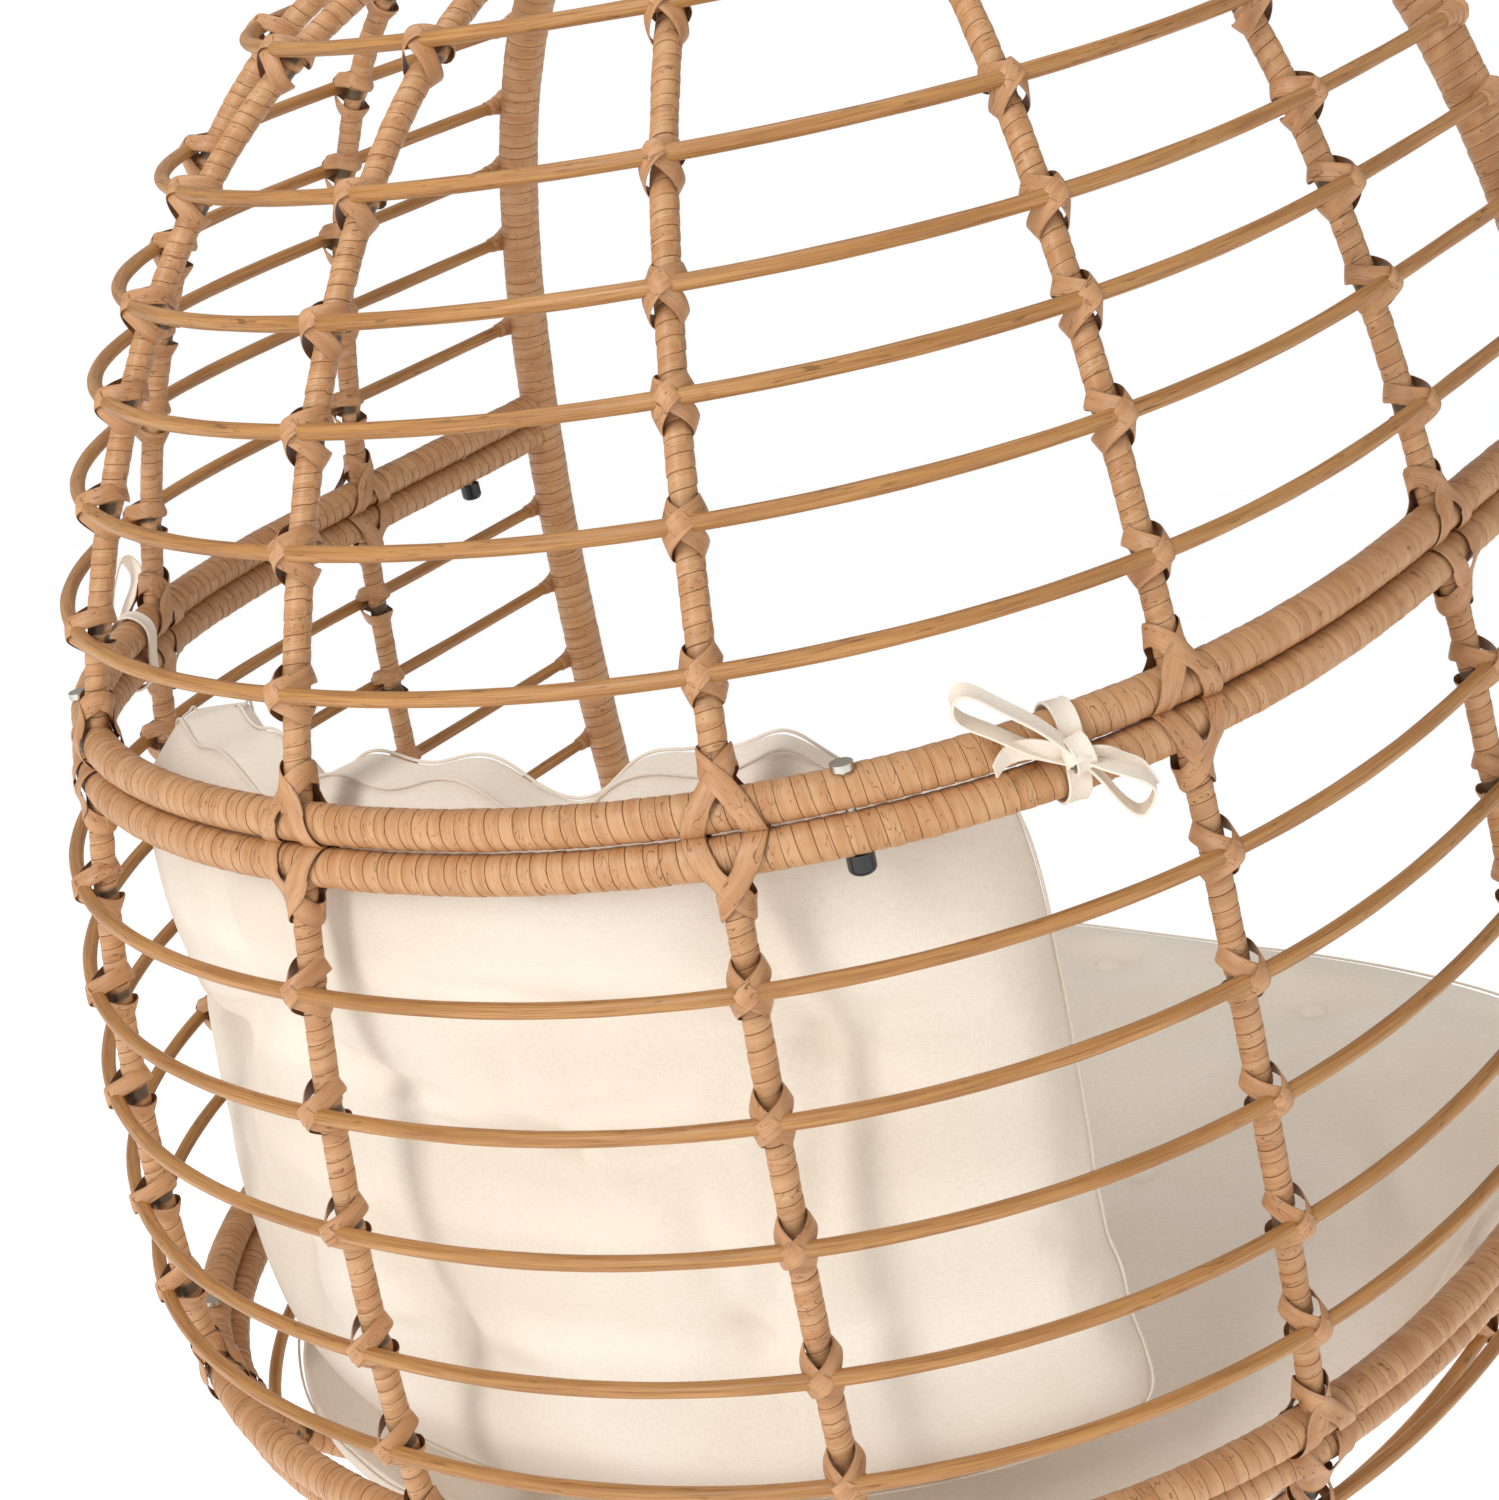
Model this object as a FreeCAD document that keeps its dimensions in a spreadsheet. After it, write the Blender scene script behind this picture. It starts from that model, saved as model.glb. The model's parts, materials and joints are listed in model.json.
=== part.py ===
import FreeCAD, Part
import math
import os

from FreeCAD import Placement, Rotation, Vector

# A hanging egg chair, in millimetres: a reclined basket of three bolted sections, two cushions,
# and the swivel, spring and carabiner that it hangs from.
# The origin is the centre of the bore in the top eye, +Z is up and the chair faces -Y.
# The basket is drawn in its own level frame, with its axis on Z and the middle seam at height 0,
# and every basket piece then takes the same placement, which leans the basket back.

doc = FreeCAD.newDocument("hanging_egg_chair")
X_AXIS = Vector(1, 0, 0)
Y_AXIS = Vector(0, 1, 0)
Z_AXIS = Vector(0, 0, 1)

# ---------------------------------------------------------------- driving dimensions
DIMENSIONS = (
    ("recline_angle", 19, "how far the basket leans back as it hangs, degrees"),
    ("back_reach", 660, "basket axis to the back rib at the widest level"),
    ("side_reach", 485, "basket axis to the side at the widest level"),
    ("front_reach", 290, "basket axis to the front of the bowl's outline"),
    ("widest_level", -390, "height of the widest level"),
    ("dome_rise", 850, "widest level to the crown"),
    ("bowl_drop", 300, "widest level to the bottom"),
    ("opening_setback", 134, "rim in front of the basket axis at the middle seam"),
    ("opening_lean", 0.035, "how far the rim moves back for each millimetre up"),
    ("lip_drop", 140, "bottom seam to the lowest point of the front lip"),
    ("lower_seam_level", -461, "height of the bottom seam"),
    ("seam_pitch", 24, "between the axes of the two tubes of a seam"),
    ("seam_tube_radius", 11.6, "wrapped seam tube"),
    ("rim_radius", 15.8, "wrapped rim tube"),
    ("rib_radius", 8.1, "wrapped rib"),
    ("rod_radius", 4.8, "cane rod"),
    ("rod_standoff", 14.5, "rib axis to rod axis"),
    ("hub_radius", 50, "crown hub"),
    ("eye_forward", 62, "basket axis to the crown eye, over the chair's centre of mass"),
    ("arch_forward", 100, "basket axis to the rim arch at the crown"),
    ("hub_height", 22, "crown hub"),
    ("bottom_ring_radius", 90, "ring where the bowl ribs meet"),
    ("tie_length", 30, "crossed tie strip"),
    ("tie_width", 9, "crossed tie strip"),
    ("tie_thickness", 1.4, "crossed tie strip"),
    ("bolt_radius", 3, "seam bolt, M6"),
    ("bolt_hole_radius", 3.3, "hole for a seam bolt"),
    ("eye_bolt_radius", 8, "crown eye bolt, M16"),
    ("eye_ring_radius", 22, "crown eye, to the middle of its bar"),
    ("eye_bar_radius", 6, "crown eye's bar"),
    ("link_bar_radius", 5, "carabiner's bar"),
    ("link_height", 80, "carabiner, between its end bars' axes"),
    ("link_half_width", 20, "carabiner, to its side bars' axes"),
    ("swivel_bore_radius", 8, "bore in the top eye"),
    ("swivel_stem_radius", 7, "swivel shaft"),
    ("swing_bolt_radius", 5, "swing bolt, M10"),
    ("running_gap", 0.05, "radial clearance of a running fit"),
    ("spring_radius", 24, "coil spring, to the middle of its wire"),
    ("spring_wire_radius", 4, "coil spring's wire"),
    ("spring_pitch", 9, "coil spring"),
    ("spring_turns", 13, "coil spring"),
)
sheet = doc.addObject("Spreadsheet::Sheet", "dimensions")
for row, (alias, value, meaning) in enumerate(DIMENSIONS, start=1):
    sheet.set("A%d" % row, alias)
    sheet.set("B%d" % row, str(value))
    sheet.set("C%d" % row, meaning)
    sheet.setAlias("B%d" % row, alias)
doc.recompute()


def size(alias):
    return float(sheet.get(alias))


# Heights of the cane rods above or below the middle seam, one list for each section.
DOME_ROD_LEVELS = (81, 153, 212, 263, 321, 387, 425, 447)
MIDDLE_ROD_LEVELS = (-82, -154, -227, -306, -375)
BOWL_ROD_LEVELS = (-520, -575, -625, -660)
# Ribs stand in planes through the basket axis: angles from the back, positive to the right.
RIB_ANGLES = {
    "back": 0,
    "right_1": 25.6,
    "right_2": 51.0,
    "right_3": 79.2,
    "left_1": -25.6,
    "left_2": -51.0,
    "left_3": -79.2,
}
SIDE_FULLNESS = 3.3        # power that keeps the back round and the sides flat
DOME_BACK_POWER = 0.34
DOME_SIDE_POWER = 0.225
BOWL_POWER = 2.5
FRONT_POWER = 3
WELD_GAP = 0.4             # keeps a welded end clear of its neighbour's wall
TOUCH_GAP = 0.05           # between two pieces that rest on each other

crown_level = size("widest_level") + size("dome_rise")
bottom_level = size("widest_level") - size("bowl_drop")
half_pitch = size("seam_pitch") / 2

# ---------------------------------------------------------------- basket form


def height_factor(height, turn):
    """How far the outline has closed in at a height, 1 at the widest level."""
    rise = height - size("widest_level")
    if rise > 0:
        flatness = abs(math.sin(turn)) ** 2.6
        power = DOME_BACK_POWER - (DOME_BACK_POWER - DOME_SIDE_POWER) * flatness
        return max(1 - (rise / size("dome_rise")) ** 2, 0) ** power
    return math.sqrt(max(1 - (-rise / size("bowl_drop")) ** BOWL_POWER, 0))


def back_outline(turn):
    """Reach of the widest level, for the back and the sides."""
    narrowing = size("back_reach") - size("side_reach")
    return size("back_reach") - narrowing * abs(math.sin(turn)) ** SIDE_FULLNESS


def front_outline(turn):
    """Reach of the widest level, for the front of the bowl."""
    join = math.radians(front_start)
    depth = abs(math.cos(join)) / size("front_reach")
    width = (back_outline(join) ** -FRONT_POWER - depth ** FRONT_POWER) ** (1 / FRONT_POWER)
    width = width / math.sin(join)
    across = abs(math.sin(turn)) * width
    ahead = abs(math.cos(turn)) / size("front_reach")
    return (across ** FRONT_POWER + ahead ** FRONT_POWER) ** (-1 / FRONT_POWER)


def reach(degrees, height):
    """Distance from the basket axis to the rib surface."""
    turn = math.radians(degrees)
    if abs(degrees) > front_start:
        return front_outline(turn) * height_factor(height, turn)
    return back_outline(turn) * height_factor(height, turn)


def form_point(degrees, height, standoff=0):
    """Point on the basket form, or outside it by a standoff square to the form."""
    turn = math.radians(degrees)
    outward = Vector(math.sin(turn), math.cos(turn), 0)
    along = Vector(math.cos(turn), -math.sin(turn), 0)
    here = outward * reach(degrees, height) + Z_AXIS * height
    if standoff == 0:
        return here
    step = 1.0
    up_slope = (reach(degrees, height + step) - reach(degrees, height - step)) / (2 * step)
    turn_step = math.degrees(step / reach(degrees, height))
    turn_slope = (reach(degrees + turn_step, height) - reach(degrees - turn_step, height)) / (2 * step)
    square = (outward - along * turn_slope - Z_AXIS * up_slope).normalize()
    return here + square * standoff


def rim_depth(height):
    """Y of the rim's axis at a height."""
    return size("opening_lean") * height - size("opening_setback")


def rim_turn(height):
    """Angle from the back, in degrees, at which the form meets the opening plane."""
    low = 85
    high = 165
    for _ in range(40):
        middle = (low + high) / 2
        turn = math.radians(middle)
        depth = back_outline(turn) * height_factor(height, turn) * math.cos(turn)
        if depth > rim_depth(height):
            low = middle
        else:
            high = middle
    return low


# Beyond this angle from the back the bowl follows its own front outline.
front_start = rim_turn(size("lower_seam_level"))


def rim_point(side, height):
    """Point on the rim's axis above the bottom seam; side is +1 for right and -1 for left."""
    turn = math.radians(rim_turn(height))
    radius = back_outline(turn) * height_factor(height, turn)
    return Vector(side * radius * math.sin(turn), radius * math.cos(turn), height)


def lip_turn(share):
    """Angle of a point on the bowl's rim: share 0 is the bottom seam and 1 the front centre."""
    return front_start + (180 - front_start) * share


def lip_point(share, side=1):
    """Point on the bowl's rim, which drops and runs forward to the middle of the front."""
    fall = math.sqrt(1 - (1 - share) ** 2)
    height = size("lower_seam_level") - size("lip_drop") * fall
    point = form_point(lip_turn(share), height)
    return Vector(side * point.x, point.y, point.z)


# ---------------------------------------------------------------- placements
hub_top = crown_level + size("hub_height") / 2
eye_collar = 4
eye_centre = hub_top + size("eye_ring_radius") + size("eye_bar_radius") + eye_collar - 1
LINK_SEAT = 13             # the leaning eye's bar rides this far above the carabiner's lowest bar
swing_height = eye_centre + size("eye_ring_radius") - LINK_SEAT

fork_level = -95           # swing bolt's axis below the top bore
spring_top_level = -122.1
spring_length = size("spring_pitch") * size("spring_turns")
spring_bottom_level = spring_top_level - spring_length
lug_level = spring_bottom_level - 36.1
lug_hole_radius = 9
link_rise = 1.2            # the carabiner's curved bar rides on the edges of the lug's hole
link_top_level = lug_level - lug_hole_radius + size("link_bar_radius") + link_rise
link_bottom_level = link_top_level - size("link_height")

lean = Rotation(X_AXIS, -size("recline_angle"))
eye_spot = Vector(0, -size("eye_forward"), 0)
hang = Placement(Vector(0, 0, link_bottom_level) - lean.multVec(eye_spot + Z_AXIS * swing_height), lean)
upright = Placement()


def finish(piece, label, placement):
    piece.Label = label
    piece.Placement = placement
    parts.append(piece)
    return piece


parts = []

# ---------------------------------------------------------------- tubes and rods


def spine(name, points, closed=False):
    """Smooth centre line through a few points."""
    curve = Part.BSplineCurve()
    curve.interpolate(Points=points, PeriodicFlag=closed)
    path = doc.addObject("Part::Feature", name + "_axis")
    path.Shape = Part.Wire([curve.toShape()])
    return path


def sweep_tube(name, points, radius_alias):
    """Round tube or rod along a smooth line."""
    path = spine(name, points)
    edge = path.Shape.Edges[0]
    start = edge.valueAt(edge.FirstParameter)
    tangent = edge.tangentAt(edge.FirstParameter)
    circle = doc.addObject("Part::Circle", name + "_section")
    circle.setExpression("Radius", "dimensions." + radius_alias)
    circle.Placement = Placement(start, Rotation(Z_AXIS, tangent))
    tube = doc.addObject("Part::Sweep", name)
    tube.Sections = [circle]
    tube.Spine = (path, ["Edge1"])
    tube.Solid = True
    return tube


def upright_tube(name, points, radius, square_to=Z_AXIS):
    """Round rod along a smooth line that lies nearly in one plane, which square_to stands across."""
    edge = spine(name, points).Shape.Edges[0]
    start = edge.valueAt(edge.FirstParameter)
    tangent = edge.tangentAt(edge.FirstParameter)
    pipe = Part.BRepOffsetAPI.MakePipeShell(Part.Wire([edge]))
    pipe.setBiNormalMode(square_to)
    pipe.add(Part.Wire([Part.Circle(start, tangent, radius).toShape()]))
    pipe.build()
    pipe.makeSolid()
    tube = doc.addObject("Part::Feature", name)
    tube.Shape = pipe.shape()
    return tube


def group(name, members):
    """One node that holds several separate solids."""
    bundle = doc.addObject("Part::Compound", name)
    bundle.Links = members
    return bundle


def even_heights(low, high, count):
    """Evenly spaced heights, both ends included."""
    return [low + (high - low) * step / (count - 1) for step in range(count)]


def ring_points(height, standoff, first_turn, last_turn, count=17):
    """Points round the basket at one height, from one angle to another."""
    turns = [first_turn + (last_turn - first_turn) * step / (count - 1) for step in range(count)]
    return [form_point(turn, height, standoff) for turn in turns]


# Rim: an arch over the dome, a post each side of the middle section, and the bowl's front lip.
ARCH_LEVELS = (90, 170, 250, 320, 375, 415, 440)
RIM_GAP = 0.3              # from the middle seam's plane to each rim
LIP_GAP = 4.5              # from a post's foot to the lip, which turns forward there
LIP_SHARES = (0, 0.03, 0.1, 0.22, 0.4, 0.6, 0.8)
right_arch = [rim_point(1, height) for height in (RIM_GAP,) + ARCH_LEVELS]
left_arch = [rim_point(-1, height) for height in reversed((RIM_GAP,) + ARCH_LEVELS)]
arch_points = right_arch + [Vector(0, -size("arch_forward"), crown_level - 1)] + left_arch
post_levels = even_heights(-RIM_GAP, size("lower_seam_level") + LIP_GAP, 6)
right_lip = [lip_point(share) for share in LIP_SHARES]
left_lip = [lip_point(share, -1) for share in reversed(LIP_SHARES)]
lip_points = right_lip + [lip_point(1)] + left_lip


def samples(points):
    """Closely spaced points along the smooth line through a few points."""
    curve = Part.BSplineCurve()
    curve.interpolate(Points=points)
    return curve.discretize(400)


post_line = [rim_point(1, height) for height in post_levels]
rim_samples = samples(arch_points) + samples(post_line) + samples(lip_points)


def end_turn(height, standoff, clearance):
    """Angle at which a ring stops, with its end a clearance short of the rim's axis."""
    def too_near(turn):
        here = form_point(turn, height, standoff)
        return min(here.distanceToPoint(point) for point in rim_samples) < clearance
    high = 60
    while not too_near(high):
        high += 1
    low = high - 1
    for _ in range(12):
        middle = (low + high) / 2
        if too_near(middle):
            high = middle
        else:
            low = middle
    return low


rim_clearance = size("rim_radius") + WELD_GAP
rod_clearance = rim_clearance + 0.5
upper_seam_levels = {"dome_seam_tube": half_pitch, "middle_top_tube": -half_pitch}
lower_seam_levels = {
    "middle_bottom_tube": size("lower_seam_level") + half_pitch,
    "bowl_seam_tube": size("lower_seam_level") - half_pitch,
}
seam_levels = {**upper_seam_levels, **lower_seam_levels}
BOLT_TURNS = (32, -32, 94, -94)
DRILL_LENGTH = 62


def seam_tube(name, height):
    """Seam tube with its bolt holes drilled through."""
    stop = end_turn(height, 0, rim_clearance + 2)
    ring = ring_points(height, 0, -stop, stop)
    blank = upright_tube(name + "_blank", ring, size("seam_tube_radius"))
    seam_height = 0 if name in upper_seam_levels else size("lower_seam_level")
    drills = []
    for turn in BOLT_TURNS:
        drill = doc.addObject("Part::Cylinder", name + "_drill")
        drill.setExpression("Radius", "dimensions.bolt_hole_radius")
        drill.Height = DRILL_LENGTH
        drill.Placement.Base = form_point(turn, seam_height) - Z_AXIS * DRILL_LENGTH / 2
        drills.append(drill)
    drilled = doc.addObject("Part::Cut", name)
    drilled.Base = blank
    drilled.Tool = group(name + "_drills", drills)
    finish(drilled, name, hang)


for tube_name, tube_level in seam_levels.items():
    seam_tube(tube_name, tube_level)

# Ribs: each stands in its own plane, from one seam tube to the next, the hub or the bottom ring.
RIB_END_GAP = 1.8          # the outermost ribs meet the seam tubes at a slant
rib_end = size("seam_tube_radius") + RIB_END_GAP
SHOULDER_LEVEL = 300       # where a dome rib starts to curve in over the crown
CROWN_SHARES = (0.82, 0.62, 0.42, 0.24, 0)
BOWL_SHARES = (0.94, 0.8, 0.6, 0.4, 0.2)
SEAM_CLEARANCE = 8         # least drop from a bowl rib's top to its next point
rib_stop_radius = size("hub_radius") + WELD_GAP


def crown_height(degrees, radius):
    """Height at which the form has closed in to a radius."""
    low = 0
    high = crown_level
    for _ in range(50):
        middle = (low + high) / 2
        if reach(degrees, middle) > radius:
            low = middle
        else:
            high = middle
    return low


def dome_rib_points(degrees):
    """Even steps in height below, and even steps in radius over the crown."""
    heights = even_heights(half_pitch + rib_end, SHOULDER_LEVEL, 5)
    points = [form_point(degrees, height) for height in heights]
    wide = reach(degrees, SHOULDER_LEVEL)
    for share in CROWN_SHARES:
        radius = rib_stop_radius + (wide - rib_stop_radius) * share
        points.append(form_point(degrees, crown_height(degrees, radius)))
    return points


def bottom_height(degrees, radius):
    """Height at which the bowl has closed in to a radius."""
    low = bottom_level
    high = size("widest_level")
    for _ in range(50):
        middle = (low + high) / 2
        if reach(degrees, middle) < radius:
            low = middle
        else:
            high = middle
    return high


ring_height = bottom_height(0, size("bottom_ring_radius"))


def bowl_rib_points(degrees, top_point, top_height, stop_gap=WELD_GAP):
    """From a seam tube or the lip, down and in to the bottom ring."""
    stop_radius = size("bottom_ring_radius") + size("rib_radius") + stop_gap
    wide = reach(degrees, top_height)
    points = [top_point]
    for share in BOWL_SHARES:
        radius = stop_radius + (wide - stop_radius) * share
        height = bottom_height(degrees, radius)
        if height < top_height - SEAM_CLEARANCE:
            points.append(form_point(degrees, height))
    turn = math.radians(degrees)
    points.append(Vector(stop_radius * math.sin(turn), stop_radius * math.cos(turn), ring_height))
    return points


middle_low = size("lower_seam_level") + half_pitch + rib_end
bowl_top = size("lower_seam_level") - half_pitch - rib_end
for place, degrees in RIB_ANGLES.items():
    dome_rib = sweep_tube("dome_rib_" + place, dome_rib_points(degrees), "rib_radius")
    finish(dome_rib, "dome_rib_" + place, hang)
    levels = even_heights(-half_pitch - rib_end, middle_low, 6)
    middle_points = [form_point(degrees, height) for height in levels]
    middle_rib = sweep_tube("middle_rib_" + place, middle_points, "rib_radius")
    finish(middle_rib, "middle_rib_" + place, hang)
    top_point = form_point(degrees, bowl_top)
    bowl_points = bowl_rib_points(degrees, top_point, bowl_top)
    bowl_rib = sweep_tube("bowl_rib_" + place, bowl_points, "rib_radius")
    finish(bowl_rib, "bowl_rib_" + place, hang)

# Front ribs of the bowl rise from the bottom ring to the lip.
FRONT_RIB_ANGLES = (180, 146, -146)
lip_gap = size("rim_radius") + 3
FRONT_STOP_GAP = 8         # front ribs reach the bottom ring at a slant


def lip_share(degrees):
    return (abs(degrees) - front_start) / (180 - front_start)


front_ribs = []
for number, degrees in enumerate(FRONT_RIB_ANGLES, start=1):
    lip = lip_point(lip_share(degrees), 1 if degrees > 0 else -1)
    top_height = lip.z - lip_gap
    top_point = form_point(degrees, top_height)
    rib_points = bowl_rib_points(degrees, top_point, top_height, FRONT_STOP_GAP)
    turn = math.radians(degrees)
    across = Vector(math.cos(turn), -math.sin(turn), 0)
    rib_name = "bowl_front_rib_%d" % number
    front_ribs.append(upright_tube(rib_name, rib_points, size("rib_radius"), across))
finish(group("bowl_front_ribs", front_ribs), "bowl_front_ribs", hang)

finish(sweep_tube("dome_rim_arch", arch_points, "rim_radius"), "dome_rim_arch", hang)
for side_name, side in (("right", 1), ("left", -1)):
    post_points = [rim_point(side, height) for height in post_levels]
    post = sweep_tube("middle_rim_" + side_name, post_points, "rim_radius")
    finish(post, "middle_rim_" + side_name, hang)
finish(sweep_tube("bowl_rim_lip", lip_points, "rim_radius"), "bowl_rim_lip", hang)

# Cane rods, outside the ribs.
standoff = size("rod_standoff")
HOOP_GAP_ANGLE = 0.15      # degrees from a hoop's joint to the end of each half


def rod_group(name, levels):
    rods = []
    for number, height in enumerate(levels, start=1):
        rod_name = "%s_%d" % (name, number)
        if height < lip_point(1).z:
            # A hoop in two halves, whose ends butt together at the back rib and at the front.
            for side in (1, -1):
                first_turn = side * HOOP_GAP_ANGLE
                last_turn = side * (180 - HOOP_GAP_ANGLE)
                half = ring_points(height, standoff, first_turn, last_turn)
                rods.append(upright_tube(rod_name, half, size("rod_radius")))
        else:
            stop = end_turn(height, standoff, rod_clearance + size("rod_radius"))
            rods.append(sweep_tube(rod_name, ring_points(height, standoff, -stop, stop), "rod_radius"))
    finish(group(name, rods), name, hang)


rod_group("dome_rods", DOME_ROD_LEVELS)
rod_group("middle_rods", MIDDLE_ROD_LEVELS)
rod_group("bowl_rods", BOWL_ROD_LEVELS)

# Bottom ring.
bottom_ring = doc.addObject("Part::Torus", "bottom_ring")
bottom_ring.setExpression("Radius1", "dimensions.bottom_ring_radius")
bottom_ring.setExpression("Radius2", "dimensions.rib_radius")
finish(bottom_ring, "bottom_ring", hang * Placement(Vector(0, 0, ring_height), Rotation()))

# ---------------------------------------------------------------- ties and seam bolts


def copies(name, pattern, places, placement):
    """One node of separate solids, the same piece set at several places."""
    node = doc.addObject("Part::Feature", name)
    doc.recompute()
    shapes = []
    for place in places:
        shape = pattern.Shape.copy()
        shape.Placement = place
        shapes.append(shape)
    node.Shape = Part.makeCompound(shapes)
    finish(node, name, placement)


def cylinder(name, radius, height, base=Vector(), direction=Z_AXIS):
    """Cylinder whose radius may be a number or the name of a dimension."""
    solid = doc.addObject("Part::Cylinder", name)
    if isinstance(radius, str):
        solid.setExpression("Radius", radius)
    else:
        solid.Radius = radius
    solid.Height = height
    solid.Placement = Placement(base, Rotation(Z_AXIS, direction))
    return solid


def box(name, length, width, height, centre):
    """Box given by its sides and its centre."""
    solid = doc.addObject("Part::Box", name)
    solid.Length = length
    solid.Width = width
    solid.Height = height
    solid.Placement.Base = centre - Vector(length / 2, width / 2, height / 2)
    return solid


def hexagon(name, across_flats, height, base, direction=Z_AXIS):
    """Hexagonal bar for nuts and bolt heads."""
    solid = doc.addObject("Part::Prism", name)
    solid.Polygon = 6
    solid.Circumradius = across_flats / math.sqrt(3)
    solid.Height = height
    solid.Placement = Placement(base, Rotation(Z_AXIS, direction))
    return solid


def fuse(name, members):
    solid = doc.addObject("Part::MultiFuse", name)
    solid.Shapes = members
    return solid


def cut(name, base, tool):
    solid = doc.addObject("Part::Cut", name)
    solid.Base = base
    solid.Tool = tool
    return solid


TIE_SLANT = 33             # degrees of each strip from the rod's direction
strips = []
for slant in (TIE_SLANT, -TIE_SLANT):
    strip = doc.addObject("Part::Box", "tie_strip")
    strip.setExpression("Length", "dimensions.tie_length")
    strip.setExpression("Width", "dimensions.tie_thickness")
    strip.setExpression("Height", "dimensions.tie_width")
    corner = Vector(size("tie_length") / 2, 0, size("tie_width") / 2)
    turned = Rotation(Y_AXIS, slant)
    strip.Placement = Placement(turned.multVec(-corner), turned)
    strips.append(strip)
tie_pattern = fuse("tie_pattern", strips)
tie_standoff = size("rod_standoff") + size("rod_radius") + WELD_GAP


def square_place(degrees, height, standoff):
    """Y square to the form and X sideways, at a standoff from the form."""
    here = form_point(degrees, height, standoff)
    outward = (form_point(degrees, height, 1) - form_point(degrees, height)).normalize()
    turn = math.radians(degrees)
    sideways = Vector(math.cos(turn), -math.sin(turn), 0)
    upward = sideways.cross(outward)
    return Placement(here, Rotation(sideways, outward, upward, "YZX"))


def tie_group(name, levels, angles):
    places = [
        square_place(degrees, height, tie_standoff) for height in levels for degrees in angles
    ]
    copies(name, tie_pattern, places, hang)


tie_group("dome_ties", DOME_ROD_LEVELS, RIB_ANGLES.values())
tie_group("middle_ties", MIDDLE_ROD_LEVELS, RIB_ANGLES.values())
tie_group("bowl_ties", BOWL_ROD_LEVELS, RIB_ANGLES.values())

seam_face = half_pitch + size("seam_tube_radius") + 4 * TOUCH_GAP
bolt_spots = []
for seam_height in (0, size("lower_seam_level")):
    bolt_spots += [Placement(form_point(turn, seam_height), Rotation()) for turn in BOLT_TURNS]
bolt_reach = 10            # bolt end below the lower tube
bolt_foot = Z_AXIS * (-seam_face - bolt_reach)
bolt_shank = cylinder(
    "seam_bolt_shank", "dimensions.bolt_radius", 2 * seam_face + bolt_reach, bolt_foot
)
BOLT_HEAD_RADIUS = 6.5
BOLT_HEAD_HEIGHT = 4
bolt_head = cylinder("seam_bolt_head", BOLT_HEAD_RADIUS, BOLT_HEAD_HEIGHT, Z_AXIS * seam_face)
copies("seam_bolts", fuse("seam_bolt_pattern", [bolt_shank, bolt_head]), bolt_spots, hang)

NUT_HEIGHT = 5
NUT_FLATS = 10
nut_base = Z_AXIS * (-seam_face - NUT_HEIGHT)
nut_blank = hexagon("seam_nut_blank", NUT_FLATS, NUT_HEIGHT, nut_base)
nut_thread = cylinder(
    "seam_nut_thread", "dimensions.bolt_radius + dimensions.running_gap", NUT_HEIGHT, nut_base
)
copies("seam_nuts", cut("seam_nut_pattern", nut_blank, nut_thread), bolt_spots, hang)

CAP_RADIUS = 8
CAP_HEIGHT = 13
CAP_WALL = 1.5
CAP_ROUND = 4
cap_base = Z_AXIS * (-seam_face - CAP_HEIGHT)
cap_blank = cylinder("bolt_cap_blank", CAP_RADIUS, CAP_HEIGHT, cap_base)
cap_round = doc.addObject("Part::Fillet", "bolt_cap_round")
cap_round.Base = cap_blank
doc.recompute()
edge_tops = [edge.BoundBox.ZMax for edge in cap_blank.Shape.Edges]
bottom_edge = edge_tops.index(min(edge_tops)) + 1
cap_round.Edges = [(bottom_edge, CAP_ROUND, CAP_ROUND)]
cap_hollow = cylinder(
    "bolt_cap_hollow", CAP_RADIUS - CAP_WALL, CAP_HEIGHT - CAP_WALL, cap_base + Z_AXIS * CAP_WALL
)
copies("bolt_caps", cut("bolt_cap_pattern", cap_round, cap_hollow), bolt_spots, hang)

# ---------------------------------------------------------------- cushions and ribbons
# The back cushion is a bent slab that narrows towards its top with the inside of the back ribs.
CUSHION_FOOT_BEND = 486    # radius of its outer face at the foot
CUSHION_TOP_BEND = 460
CUSHION_DEPTH = 105
CUSHION_CENTRE = 140       # centre of its bend behind the basket axis
CUSHION_SPREAD = 116       # degrees of the bend
CUSHION_FOOT = -470
CUSHION_TOP = -30


def bent_block(name, inset):
    """Sector of a cone under the back cushion's outer face."""
    block = doc.addObject("Part::Cone", name)
    block.Radius1 = CUSHION_FOOT_BEND - inset
    block.Radius2 = CUSHION_TOP_BEND - inset
    block.Height = CUSHION_TOP - CUSHION_FOOT
    block.Angle = CUSHION_SPREAD
    block.Placement.Base = Vector(0, CUSHION_CENTRE, CUSHION_FOOT)
    block.Placement.Rotation = Rotation(Z_AXIS, 90 - CUSHION_SPREAD / 2)
    return block


cushion_outer = bent_block("back_cushion_outer", 0)
cushion_inner = bent_block("back_cushion_inner", CUSHION_DEPTH)
finish(cut("back_cushion", cushion_outer, cushion_inner), "back_cushion", hang)

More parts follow.
